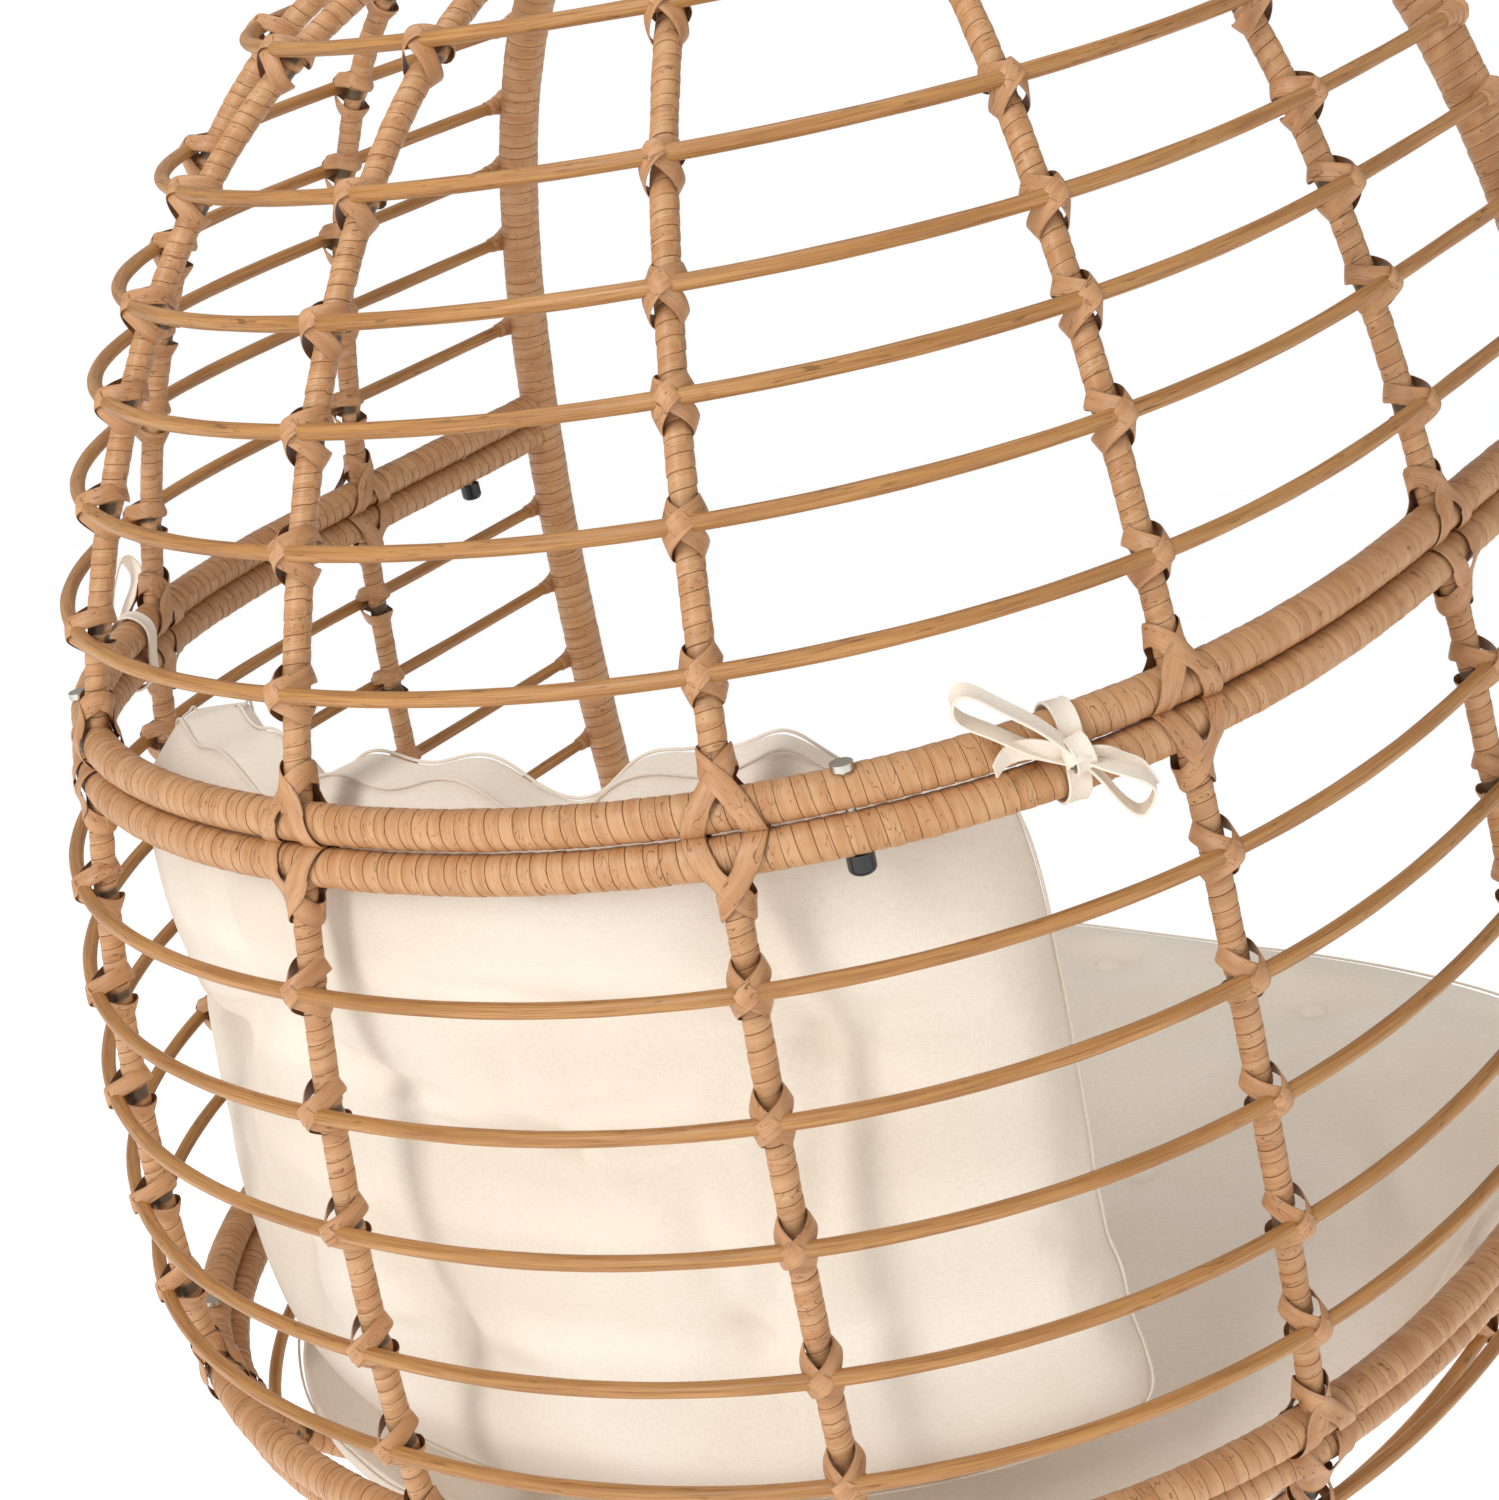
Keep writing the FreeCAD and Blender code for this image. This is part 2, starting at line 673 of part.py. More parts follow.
# The seat cushion fills the bowl between its floor and the back cushion's foot.
SEAT_LEVELS = ((-640, 46), (-590, 33), (-530, 28), (-476, 26))     # heights and insets
SEAT_CORNERS = 24
seat_outlines = []
for number, (height, inset_length) in enumerate(SEAT_LEVELS, start=1):
    turns = [360 * step / SEAT_CORNERS - 165 for step in range(SEAT_CORNERS)]
    points = [form_point(turn, height) for turn in turns]
    inset = [point - Vector(point.x, point.y, 0).normalize() * inset_length for point in points]
    seat_outlines.append(spine("seat_outline_%d" % number, inset, closed=True))
seat_cushion = doc.addObject("Part::Loft", "seat_cushion")
seat_cushion.Sections = seat_outlines
seat_cushion.Solid = True
finish(seat_cushion, "seat_cushion", hang)

# A ribbon loops round both tubes of the middle seam on each side, with its knot outside.
RIBBON_ANGLES = (("right", 47), ("left", -43.5))
RIBBON_WIDTH = 20
RIBBON_GAP = 1.2
RIBBON_WALL = 1.6
RIBBON_KNOT = 16
loop_depth = 2 * (size("seam_tube_radius") + RIBBON_GAP)
loop_height = 2 * (seam_face + RIBBON_GAP)
for side_name, degrees in RIBBON_ANGLES:
    outer_depth = loop_depth + 2 * RIBBON_WALL
    outer_height = loop_height + 2 * RIBBON_WALL
    outer = box("ribbon_outer_" + side_name, RIBBON_WIDTH, outer_depth, outer_height, Vector())
    knot_centre = Vector(0, (loop_depth + RIBBON_KNOT) / 2, 0)
    knot = box("ribbon_knot_" + side_name, RIBBON_KNOT, RIBBON_KNOT, RIBBON_KNOT, knot_centre)
    inner = box("ribbon_inner_" + side_name, 2 * RIBBON_WIDTH, loop_depth, loop_height, Vector())
    ribbon = cut("ribbon_" + side_name, fuse("ribbon_solid_" + side_name, [outer, knot]), inner)
    finish(ribbon, "ribbon_" + side_name, hang * square_place(degrees, 0, 0))

# ---------------------------------------------------------------- crown hub and eye
# The hub is a round boss for the ribs with a tongue that reaches forward to the rim arch.
TONGUE_WIDTH = 62
hub_foot = hub_top - size("hub_height")
hub_middle = (hub_top + hub_foot) / 2
hub_boss = cylinder("crown_hub_boss", "dimensions.hub_radius", size("hub_height"), Z_AXIS * hub_foot)
tongue_reach = size("arch_forward") - size("rim_radius") - WELD_GAP
hub_tongue = box(
    "crown_hub_tongue", TONGUE_WIDTH, tongue_reach, size("hub_height"),
    Vector(0, -tongue_reach / 2, hub_middle),
)
hub_bore = cylinder(
    "crown_hub_bore", "dimensions.eye_bolt_radius + dimensions.running_gap", 2 * size("hub_height"),
    eye_spot + Z_AXIS * (hub_foot - size("hub_height") / 2),
)
finish(cut("crown_hub", fuse("crown_hub_blank", [hub_boss, hub_tongue]), hub_bore), "crown_hub", hang)

eye_ring = doc.addObject("Part::Torus", "crown_eye_ring")
eye_ring.setExpression("Radius1", "dimensions.eye_ring_radius")
eye_ring.setExpression("Radius2", "dimensions.eye_bar_radius")
eye_ring.Placement = Placement(eye_spot + Z_AXIS * eye_centre, Rotation(X_AXIS, 90))
STEM_TAIL = 17
COLLAR_RADIUS = 13
eye_stem = cylinder(
    "crown_eye_stem", "dimensions.eye_bolt_radius", size("hub_height") + STEM_TAIL + eye_collar,
    eye_spot + Z_AXIS * (hub_foot - STEM_TAIL),
)
collar_base = eye_spot + Z_AXIS * (hub_top + TOUCH_GAP)
eye_shoulder = cylinder("crown_eye_shoulder", COLLAR_RADIUS, eye_collar, collar_base)
finish(fuse("crown_eye", [eye_ring, eye_stem, eye_shoulder]), "crown_eye", hang)
EYE_NUT_HEIGHT = 13
EYE_NUT_FLATS = 24
eye_nut_base = eye_spot + Z_AXIS * (hub_foot - TOUCH_GAP - EYE_NUT_HEIGHT)
eye_nut_blank = hexagon("crown_nut_blank", EYE_NUT_FLATS, EYE_NUT_HEIGHT, eye_nut_base)
eye_nut_thread = cylinder(
    "crown_nut_thread", "dimensions.eye_bolt_radius + dimensions.running_gap", EYE_NUT_HEIGHT, eye_nut_base
)
finish(cut("crown_nut", eye_nut_blank, eye_nut_thread), "crown_nut", hang)

# ---------------------------------------------------------------- swivel
STEM_FOOT = -53
EYE_DISC_RADIUS = 22
EYE_DISC_WIDTH = 16
CUP_TOP = -28
CUP_FLOOR = -40
CUP_FOOT = -66
CUP_RADIUS = 21
CUP_CAVITY = 15
WASHER_HEIGHT = 3
STEM_TOP = -16             # the shaft ends inside the eye's disc
disc_face = Y_AXIS * (-EYE_DISC_WIDTH / 2)
eye_disc = cylinder("swivel_eye_disc", EYE_DISC_RADIUS, EYE_DISC_WIDTH, disc_face, Y_AXIS)
stem_length = STEM_TOP - STEM_FOOT
stem = cylinder("swivel_eye_stem", "dimensions.swivel_stem_radius", stem_length, Z_AXIS * STEM_FOOT)
eye_bore = cylinder(
    "swivel_eye_bore", "dimensions.swivel_bore_radius", 2 * EYE_DISC_WIDTH, 2 * disc_face, Y_AXIS
)
finish(cut("swivel_eye", fuse("swivel_eye_blank", [eye_disc, stem]), eye_bore), "swivel_eye", upright)

cup_blank = cylinder("swivel_cup_blank", CUP_RADIUS, CUP_TOP - CUP_FOOT, Z_AXIS * CUP_FOOT)
cup_cavity = cylinder("swivel_cup_cavity", CUP_CAVITY, CUP_FLOOR - CUP_FOOT, Z_AXIS * CUP_FOOT)
stem_clearance = "dimensions.swivel_stem_radius + dimensions.running_gap"
cup_bore = cylinder("swivel_cup_bore", stem_clearance, CUP_TOP - CUP_FOOT, Z_AXIS * CUP_FOOT)
cup_space = fuse("swivel_cup_space", [cup_cavity, cup_bore])
finish(cut("swivel_cup", cup_blank, cup_space), "swivel_cup", upright)

washer_base = Z_AXIS * (CUP_FLOOR - TOUCH_GAP - WASHER_HEIGHT)
washer_blank = cylinder("thrust_washer_blank", CUP_CAVITY - 1, WASHER_HEIGHT, washer_base)
washer_bore = cylinder("thrust_washer_bore", stem_clearance, WASHER_HEIGHT, washer_base)
finish(cut("thrust_washer", washer_blank, washer_bore), "thrust_washer", upright)

RETAINER_HEIGHT = 8
RETAINER_FLATS = 22
retainer_base = washer_base - Z_AXIS * (TOUCH_GAP + RETAINER_HEIGHT)
retainer_blank = hexagon("retaining_nut_blank", RETAINER_FLATS, RETAINER_HEIGHT, retainer_base)
retainer_thread = cylinder("retaining_nut_thread", stem_clearance, RETAINER_HEIGHT, retainer_base)
finish(cut("retaining_nut", retainer_blank, retainer_thread), "retaining_nut", upright)

EAR_INNER = 8.1
EAR_OUTER = 16
EAR_RADIUS = 14
FORK_FLANGE = 5
PLUG_RISE = 10             # how far the fork's plug reaches up inside the cup
ear_top = CUP_FOOT - FORK_FLANGE / 2
fork_plug = cylinder(
    "swivel_fork_plug", CUP_CAVITY - size("running_gap"), CUP_FOOT + PLUG_RISE - ear_top, Z_AXIS * ear_top
)
fork_flange_base = Z_AXIS * (CUP_FOOT - TOUCH_GAP - FORK_FLANGE)
fork_flange = cylinder("swivel_fork_flange", CUP_RADIUS, FORK_FLANGE, fork_flange_base)
fork_pieces = [fork_plug, fork_flange]
ear_width = EAR_OUTER - EAR_INNER
for side in (1, -1):
    ear_centre = side * (EAR_INNER + EAR_OUTER) / 2
    ear_face = Vector(ear_centre - ear_width / 2, 0, fork_level)
    ear_round = cylinder("swivel_fork_ear_round", EAR_RADIUS, ear_width, ear_face, X_AXIS)
    middle = Vector(ear_centre, 0, (fork_level + ear_top) / 2)
    ear_plate = box("swivel_fork_ear", ear_width, 2 * EAR_RADIUS, ear_top - fork_level, middle)
    fork_pieces += [ear_round, ear_plate]
bolt_clearance = "dimensions.swing_bolt_radius + dimensions.running_gap"
bore_start = Vector(-2 * EAR_OUTER, 0, fork_level)
fork_bore = cylinder("swivel_fork_bore", bolt_clearance, 4 * EAR_OUTER, bore_start, X_AXIS)
finish(cut("swivel_fork", fuse("swivel_fork_blank", fork_pieces), fork_bore), "swivel_fork", upright)

BOLT_HEAD = 6.5
BOLT_FLATS = 17
BOLT_TAIL = 3              # thread showing past the nut
shank_start = Vector(-EAR_OUTER - BOLT_HEAD - BOLT_TAIL, 0, fork_level)
shank_length = 2 * EAR_OUTER + BOLT_HEAD + BOLT_TAIL + 1
swing_shank = cylinder(
    "swing_bolt_shank", "dimensions.swing_bolt_radius", shank_length, shank_start, X_AXIS
)
head_start = Vector(EAR_OUTER + TOUCH_GAP, 0, fork_level)
swing_head = hexagon("swing_bolt_head", BOLT_FLATS, BOLT_HEAD, head_start, X_AXIS)
finish(fuse("swing_bolt", [swing_shank, swing_head]), "swing_bolt", upright)
swing_nut_base = Vector(-EAR_OUTER - TOUCH_GAP - BOLT_HEAD, 0, fork_level)
swing_nut_blank = hexagon("swing_nut_blank", BOLT_FLATS, BOLT_HEAD, swing_nut_base, X_AXIS)
swing_nut_thread = cylinder("swing_nut_thread", bolt_clearance, BOLT_HEAD, swing_nut_base, X_AXIS)
finish(cut("swing_nut", swing_nut_blank, swing_nut_thread), "swing_nut", upright)

# ---------------------------------------------------------------- spring and its two plugs
PLUG_RADIUS = size("spring_radius") - size("spring_wire_radius") - 0.2
PLUG_LENGTH = 28
FLANGE_RADIUS = 29
FLANGE_HEIGHT = 6
FLANGE_OVERLAP = 1         # how far each neck starts outside its flange
EYE_THICKNESS = 16
EYE_RADIUS = 12
top_flange = spring_top_level + size("spring_wire_radius") + WELD_GAP
eye_face = Vector(-EYE_THICKNESS / 2, 0, fork_level)
top_ear = cylinder("spring_top_ear", EYE_RADIUS, EYE_THICKNESS, eye_face, X_AXIS)
neck_height = fork_level - top_flange - FLANGE_OVERLAP
neck_centre = Z_AXIS * (fork_level - neck_height / 2)
top_neck = box("spring_top_neck", EYE_THICKNESS, 2 * EYE_RADIUS, neck_height, neck_centre)
top_disc = cylinder("spring_top_disc", FLANGE_RADIUS, FLANGE_HEIGHT, Z_AXIS * top_flange)
top_stub = cylinder("spring_top_stub", PLUG_RADIUS, PLUG_LENGTH + 2, Z_AXIS * (top_flange - PLUG_LENGTH))
eye_start = Vector(-EYE_THICKNESS, 0, fork_level)
top_bore = cylinder("spring_top_bore", bolt_clearance, 2 * EYE_THICKNESS, eye_start, X_AXIS)
top_blank = fuse("spring_top_blank", [top_ear, top_neck, top_disc, top_stub])
finish(cut("spring_top_plug", top_blank, top_bore), "spring_top_plug", upright)

coil_helix = doc.addObject("Part::Helix", "coil_spring_axis")
coil_helix.setExpression("Radius", "dimensions.spring_radius")
coil_helix.setExpression("Pitch", "dimensions.spring_pitch")
coil_helix.setExpression("Height", "dimensions.spring_pitch * dimensions.spring_turns")
coil_wire = doc.addObject("Part::Circle", "coil_spring_section")
coil_wire.setExpression("Radius", "dimensions.spring_wire_radius")
coil_wire.Placement = Placement(X_AXIS * size("spring_radius"), Rotation(X_AXIS, 90))
coil_spring = doc.addObject("Part::Sweep", "coil_spring")
coil_spring.Sections = [coil_wire]
coil_spring.Spine = (coil_helix, ["Edge1"])
coil_spring.Solid = True
coil_spring.Frenet = True
finish(coil_spring, "coil_spring", Placement(Z_AXIS * spring_bottom_level, Rotation()))

bottom_flange = spring_bottom_level - size("spring_wire_radius") - WELD_GAP
LUG_RADIUS = 16
LUG_THICKNESS = 12
disc_base = Z_AXIS * (bottom_flange - FLANGE_HEIGHT)
bottom_disc = cylinder("spring_bottom_disc", FLANGE_RADIUS, FLANGE_HEIGHT, disc_base)
bottom_stub = cylinder("spring_bottom_stub", PLUG_RADIUS, PLUG_LENGTH + 2, Z_AXIS * (bottom_flange - 2))
lug_face = Vector(0, -LUG_THICKNESS / 2, lug_level)
lug_round = cylinder("spring_lug_round", LUG_RADIUS, LUG_THICKNESS, lug_face, Y_AXIS)
lug_neck_height = bottom_flange - FLANGE_OVERLAP - lug_level
lug_centre = Z_AXIS * (lug_level + lug_neck_height / 2)
lug_neck = box("spring_lug_neck", 2 * LUG_RADIUS, LUG_THICKNESS, lug_neck_height, lug_centre)
lug_start = Vector(0, -LUG_THICKNESS, lug_level)
lug_hole = cylinder("spring_lug_hole", lug_hole_radius, 2 * LUG_THICKNESS, lug_start, Y_AXIS)
bottom_blank = fuse("spring_bottom_blank", [bottom_disc, bottom_stub, lug_round, lug_neck])
finish(cut("spring_bottom_plug", bottom_blank, lug_hole), "spring_bottom_plug", upright)

# ---------------------------------------------------------------- carabiner
side_y = size("link_half_width")
STRAIGHT_END = 2           # straight bar between each bend and the gate
gate_top = link_top_level - side_y - STRAIGHT_END
gate_foot = link_bottom_level + side_y + STRAIGHT_END
PIVOT_RISE = 7
TONGUE_RADIUS = 4
gate_pivot = gate_foot + PIVOT_RISE
TONGUE = 4                 # thickness of the tongue inside the gate's slot
upper_bend = link_top_level - side_y
lower_bend = link_bottom_level + side_y
link_path = doc.addObject("Part::Feature", "carabiner_axis")
nose = Vector(0, side_y, gate_top)
upper_gate_side = Vector(0, side_y, upper_bend)
upper_back_side = Vector(0, -side_y, upper_bend)
lower_back_side = Vector(0, -side_y, lower_bend)
lower_gate_side = Vector(0, side_y, lower_bend)
heel = Vector(0, side_y, gate_foot)
link_path.Shape = Part.Wire([
    Part.LineSegment(nose, upper_gate_side).toShape(),
    Part.Arc(upper_gate_side, Z_AXIS * link_top_level, upper_back_side).toShape(),
    Part.LineSegment(upper_back_side, lower_back_side).toShape(),
    Part.Arc(lower_back_side, Z_AXIS * link_bottom_level, lower_gate_side).toShape(),
    Part.LineSegment(lower_gate_side, heel).toShape(),
])
link_section = doc.addObject("Part::Circle", "carabiner_section")
link_section.setExpression("Radius", "dimensions.link_bar_radius")
link_section.Placement.Base = nose
link_bar = doc.addObject("Part::Sweep", "carabiner_bar")
link_bar.Sections = [link_section]
link_bar.Spine = (link_path, ["Edge%d" % number for number in range(1, 6)])
link_bar.Solid = True
tongue_height = PIVOT_RISE + 2
tongue_centre = Vector(0, side_y, gate_pivot - tongue_height / 2)
tongue_plate = box("carabiner_tongue", TONGUE, 2 * TONGUE_RADIUS, tongue_height, tongue_centre)
tongue_face = Vector(-TONGUE / 2, side_y, gate_pivot)
tongue_round = cylinder("carabiner_tongue_round", TONGUE_RADIUS, TONGUE, tongue_face, X_AXIS)
PIN_RADIUS = 1.5
PIN_DRILL = 20
pin_clearance = PIN_RADIUS + size("running_gap")
drill_start = Vector(-PIN_DRILL / 2, side_y, gate_pivot)
pin_hole = cylinder("carabiner_pin_hole", pin_clearance, PIN_DRILL, drill_start, X_AXIS)
link_blank = fuse("carabiner_blank", [link_bar, tongue_plate, tongue_round])
finish(cut("carabiner_body", link_blank, pin_hole), "carabiner_body", upright)

GATE_RADIUS = 4.8
GATE_NOSE_GAP = 0.8
GATE_HEEL = 4.5            # gate below its pivot
SLOT_GAP = 0.4
SLOT_HEIGHT = 22
gate_low = gate_pivot - GATE_HEEL
gate_length = gate_top - GATE_NOSE_GAP - gate_low
gate_rod = cylinder("carabiner_gate_rod", GATE_RADIUS, gate_length, Vector(0, side_y, gate_low))
slot_centre = Vector(0, side_y, gate_pivot + TONGUE_RADIUS + 1.5 - SLOT_HEIGHT / 2)
slot = box("carabiner_gate_slot", TONGUE + SLOT_GAP, 4 * GATE_RADIUS, SLOT_HEIGHT, slot_centre)
gate_hole = cylinder("carabiner_gate_hole", pin_clearance, PIN_DRILL, drill_start, X_AXIS)
gate_space = fuse("carabiner_gate_space", [slot, gate_hole])
finish(cut("carabiner_gate", gate_rod, gate_space), "carabiner_gate", upright)
pin_place = Placement(Vector(-GATE_RADIUS, side_y, gate_pivot), Rotation(Z_AXIS, X_AXIS))
finish(cylinder("gate_pin", PIN_RADIUS, 2 * GATE_RADIUS), "gate_pin", pin_place)

# ---------------------------------------------------------------- checks and files
doc.recompute()
for item in doc.Objects:
    if "Invalid" in item.State or "Error" in item.State:
        raise RuntimeError("%s: %s" % (item.Name, item.State))
for piece in parts:
    if piece.Shape.isNull() or not piece.Shape.isValid():
        raise RuntimeError("%s has no valid shape" % piece.Label)
os.makedirs("parts", exist_ok=True)
for piece in parts:
    piece.Shape.exportStep("parts/%s.step" % piece.Label)
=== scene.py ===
"""A hanging egg chair: wrapped tubes, cane rods, knots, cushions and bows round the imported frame."""
import json
import math
import random

import bmesh
import bpy
import numpy as np
from mathutils import Matrix, Vector


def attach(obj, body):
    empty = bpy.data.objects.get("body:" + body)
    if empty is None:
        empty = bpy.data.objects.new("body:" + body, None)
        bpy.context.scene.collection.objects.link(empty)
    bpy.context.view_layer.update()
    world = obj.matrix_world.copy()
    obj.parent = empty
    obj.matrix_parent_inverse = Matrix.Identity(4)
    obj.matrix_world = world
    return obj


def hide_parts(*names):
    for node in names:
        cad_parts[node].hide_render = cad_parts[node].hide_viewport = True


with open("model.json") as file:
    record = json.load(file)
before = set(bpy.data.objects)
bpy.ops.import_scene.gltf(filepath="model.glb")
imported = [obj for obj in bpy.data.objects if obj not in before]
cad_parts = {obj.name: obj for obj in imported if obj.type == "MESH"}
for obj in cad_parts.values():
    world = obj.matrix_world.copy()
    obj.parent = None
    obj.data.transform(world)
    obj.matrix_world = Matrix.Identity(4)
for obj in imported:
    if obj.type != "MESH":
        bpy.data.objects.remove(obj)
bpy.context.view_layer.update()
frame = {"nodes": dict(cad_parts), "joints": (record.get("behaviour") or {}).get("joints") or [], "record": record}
MM = 0.001
BODY = "basket"

# ------------------------------------------------------------------ basket form, in its own level frame
RECLINE = math.radians(19)
BACK_REACH = 0.660
SIDE_REACH = 0.485
FRONT_REACH = 0.290
WIDEST_LEVEL = -0.390
DOME_RISE = 0.850
BOWL_DROP = 0.300
CROWN_LEVEL = WIDEST_LEVEL + DOME_RISE
OPENING_SETBACK = 0.134
OPENING_LEAN = 0.035
LIP_DROP = 0.140
LOWER_SEAM = -0.461
HALF_PITCH = 0.012
SEAM_RADIUS = 0.0120
RIM_RADIUS = 0.0158
RIB_RADIUS = 0.0081
ROD_RADIUS = 0.0048
ROD_STANDOFF = 0.0145
HUB_RADIUS = 0.050
ARCH_FORWARD = 0.100
RING_RADIUS = 0.090
SIDE_FULLNESS = 3.3
BACK_POWER = 0.34
SIDE_POWER = 0.225
BOWL_POWER = 2.5
FRONT_POWER = 3.0
RIB_ANGLES = {
    "back": 0, "right_1": 25.6, "right_2": 51.0, "right_3": 79.2,
    "left_1": -25.6, "left_2": -51.0, "left_3": -79.2,
}
FRONT_RIB_ANGLES = (180, 146, -146)
DOME_RODS = (0.081, 0.153, 0.212, 0.263, 0.321, 0.387, 0.425, 0.447)
MIDDLE_RODS = (-0.082, -0.154, -0.227, -0.306, -0.375)
BOWL_RODS = (-0.520, -0.575, -0.625, -0.660)
HOOP_RODS = BOWL_RODS[2:]  # these run all the way round, under the front lip
ARCH_LEVELS = (0.090, 0.170, 0.250, 0.320, 0.375, 0.415, 0.440)

# The basket hangs from the snap hook's lower bar, a little above and in front of its crown.
pivot = next(joint for joint in frame["joints"] if joint["name"] == "swing_side")["pos_m"]
EYE_FORWARD = 0.062
EYE_HEIGHT = 0.511
lean = Matrix.Rotation(-RECLINE, 3, "X")
HANG = np.array(lean)
BASE = np.array(pivot) - HANG @ np.array([0, -EYE_FORWARD, EYE_HEIGHT])


def to_row(points):
    """Points of the basket's level frame, in the row frame."""
    return np.asarray(points, float) @ HANG.T + BASE


def height_factor(height, turn):
    rise = height - WIDEST_LEVEL
    if rise > 0:
        power = BACK_POWER - (BACK_POWER - SIDE_POWER) * abs(math.sin(turn)) ** 2.6
        return max(1 - (rise / DOME_RISE) ** 2, 0) ** power
    return math.sqrt(max(1 - (-rise / BOWL_DROP) ** BOWL_POWER, 0))


def back_outline(turn):
    return BACK_REACH - (BACK_REACH - SIDE_REACH) * abs(math.sin(turn)) ** SIDE_FULLNESS


def front_outline(turn):
    join = math.radians(FRONT_START)
    depth = abs(math.cos(join)) / FRONT_REACH
    width = (back_outline(join) ** -FRONT_POWER - depth ** FRONT_POWER) ** (1 / FRONT_POWER)
    across = abs(math.sin(turn)) * width / math.sin(join)
    ahead = abs(math.cos(turn)) / FRONT_REACH
    return (across ** FRONT_POWER + ahead ** FRONT_POWER) ** (-1 / FRONT_POWER)


def reach(degrees, height):
    turn = math.radians(degrees)
    outline = front_outline(turn) if abs(degrees) > FRONT_START else back_outline(turn)
    return outline * height_factor(height, turn)


def outward_at(degrees, height):
    """Unit vector square to the form."""
    turn = math.radians(degrees)
    out = np.array([math.sin(turn), math.cos(turn), 0])
    along = np.array([math.cos(turn), -math.sin(turn), 0])
    step = MM
    up_slope = (reach(degrees, height + step) - reach(degrees, height - step)) / (2 * step)
    turn_step = math.degrees(step / reach(degrees, height))
    slope = (reach(degrees + turn_step, height) - reach(degrees - turn_step, height)) / (2 * step)
    square = out - along * slope - np.array([0, 0, up_slope])
    return square / np.linalg.norm(square)


def form_point(degrees, height, standoff=0.0):
    turn = math.radians(degrees)
    radius = reach(degrees, height)
    here = np.array([radius * math.sin(turn), radius * math.cos(turn), height])
    return here + outward_at(degrees, height) * standoff if standoff else here


def bisect(low, high, keep_low):
    for _ in range(40):
        middle = (low + high) / 2
        if keep_low(middle):
            low = middle
        else:
            high = middle
    return low


def rim_turn(height):
    """Angle from the back at which the form meets the opening."""
    def inside(degrees):
        turn = math.radians(degrees)
        depth = back_outline(turn) * height_factor(height, turn) * math.cos(turn)
        return depth > OPENING_LEAN * height - OPENING_SETBACK
    return bisect(85, 165, inside)


FRONT_START = rim_turn(LOWER_SEAM)


def rim_point(side, height):
    turn = math.radians(rim_turn(height))
    radius = back_outline(turn) * height_factor(height, turn)
    return np.array([side * radius * math.sin(turn), radius * math.cos(turn), height])


def lip_point(share, side=1):
    height = LOWER_SEAM - LIP_DROP * math.sqrt(max(1 - (1 - share) ** 2, 0))
    point = form_point(FRONT_START + (180 - FRONT_START) * share, height)
    return point * np.array([side, 1, 1])


def rim_at(height):
    if height > LOWER_SEAM:
        return rim_point(1, height)
    return lip_point(bisect(0, 1, lambda share: lip_point(share)[2] > height))


def end_turn(height, standoff, clearance):
    """Angle at which a ring stops, a clearance short of the rim's axis."""
    rim = rim_at(height)

    def free(degrees):
        point = form_point(degrees, height, standoff)
        return np.linalg.norm(point - rim) > clearance and point[1] >= rim[1]
    return bisect(60, 150, free)


def crown_height(degrees, radius):
    return bisect(0, CROWN_LEVEL, lambda height: reach(degrees, height) > radius)


def bottom_height(degrees, radius):
    bottom = WIDEST_LEVEL - BOWL_DROP
    return bisect(bottom, WIDEST_LEVEL, lambda height: reach(degrees, height) < radius)


# ------------------------------------------------------------------ lines and meshes
def resample(line, count, closed=False):
    """Evenly spaced points along a dense line."""
    line = np.asarray(line, float)
    if closed:
        line = np.vstack([line, line[:1]])
    run = run_along(line)
    stops = np.linspace(0, run[-1], count, endpoint=not closed)
    return np.stack([np.interp(stops, run, line[:, axis]) for axis in range(3)], axis=1)


def spline(points, count, closed=False):
    """Smooth cubic line through a few points."""
    points = np.array(points, float)
    size = len(points)
    if closed:
        points = np.vstack([points[-3:], points, points[:4]])
    gaps = np.linalg.norm(np.diff(points, axis=0), axis=1)
    knots = np.concatenate([[0], np.cumsum(gaps)])
    system = np.eye(len(points))
    right = np.zeros(points.shape)
    for k in range(1, len(points) - 1):
        system[k, k - 1:k + 2] = gaps[k - 1], 2 * (gaps[k - 1] + gaps[k]), gaps[k]
        ahead = (points[k + 1] - points[k]) / gaps[k]
        behind = (points[k] - points[k - 1]) / gaps[k - 1]
        right[k] = 6 * (ahead - behind)
    bend = np.linalg.solve(system, right)
    ends = (knots[3], knots[3 + size]) if closed else (knots[0], knots[-1])
    stops = np.linspace(*ends, 8 * count, endpoint=not closed)
    k = np.clip(np.searchsorted(knots, stops, side="right") - 1, 0, len(gaps) - 1)
    gap = gaps[k][:, None]
    left = (stops - knots[k])[:, None]
    rest = gap - left
    curve = (bend[k] * rest ** 3 + bend[k + 1] * left ** 3) / (6 * gap)
    curve += (points[k] / gap - bend[k] * gap / 6) * rest
    curve += (points[k + 1] / gap - bend[k + 1] * gap / 6) * left
    return resample(curve, count, closed)


def run_along(line):
    """Distance from the line's start to each of its points."""
    return np.concatenate([[0], np.cumsum(np.linalg.norm(np.diff(line, axis=0), axis=1))])


def length_of(line):
    return float(np.linalg.norm(np.diff(line, axis=0), axis=1).sum())


def tangents(line, closed=False):
    if closed:
        ahead = np.roll(line, -1, axis=0) - np.roll(line, 1, axis=0)
    else:
        ahead = np.gradient(line, axis=0)
    return ahead / np.linalg.norm(ahead, axis=1)[:, None]


def unit(vectors):
    return vectors / np.linalg.norm(vectors, axis=-1, keepdims=True)


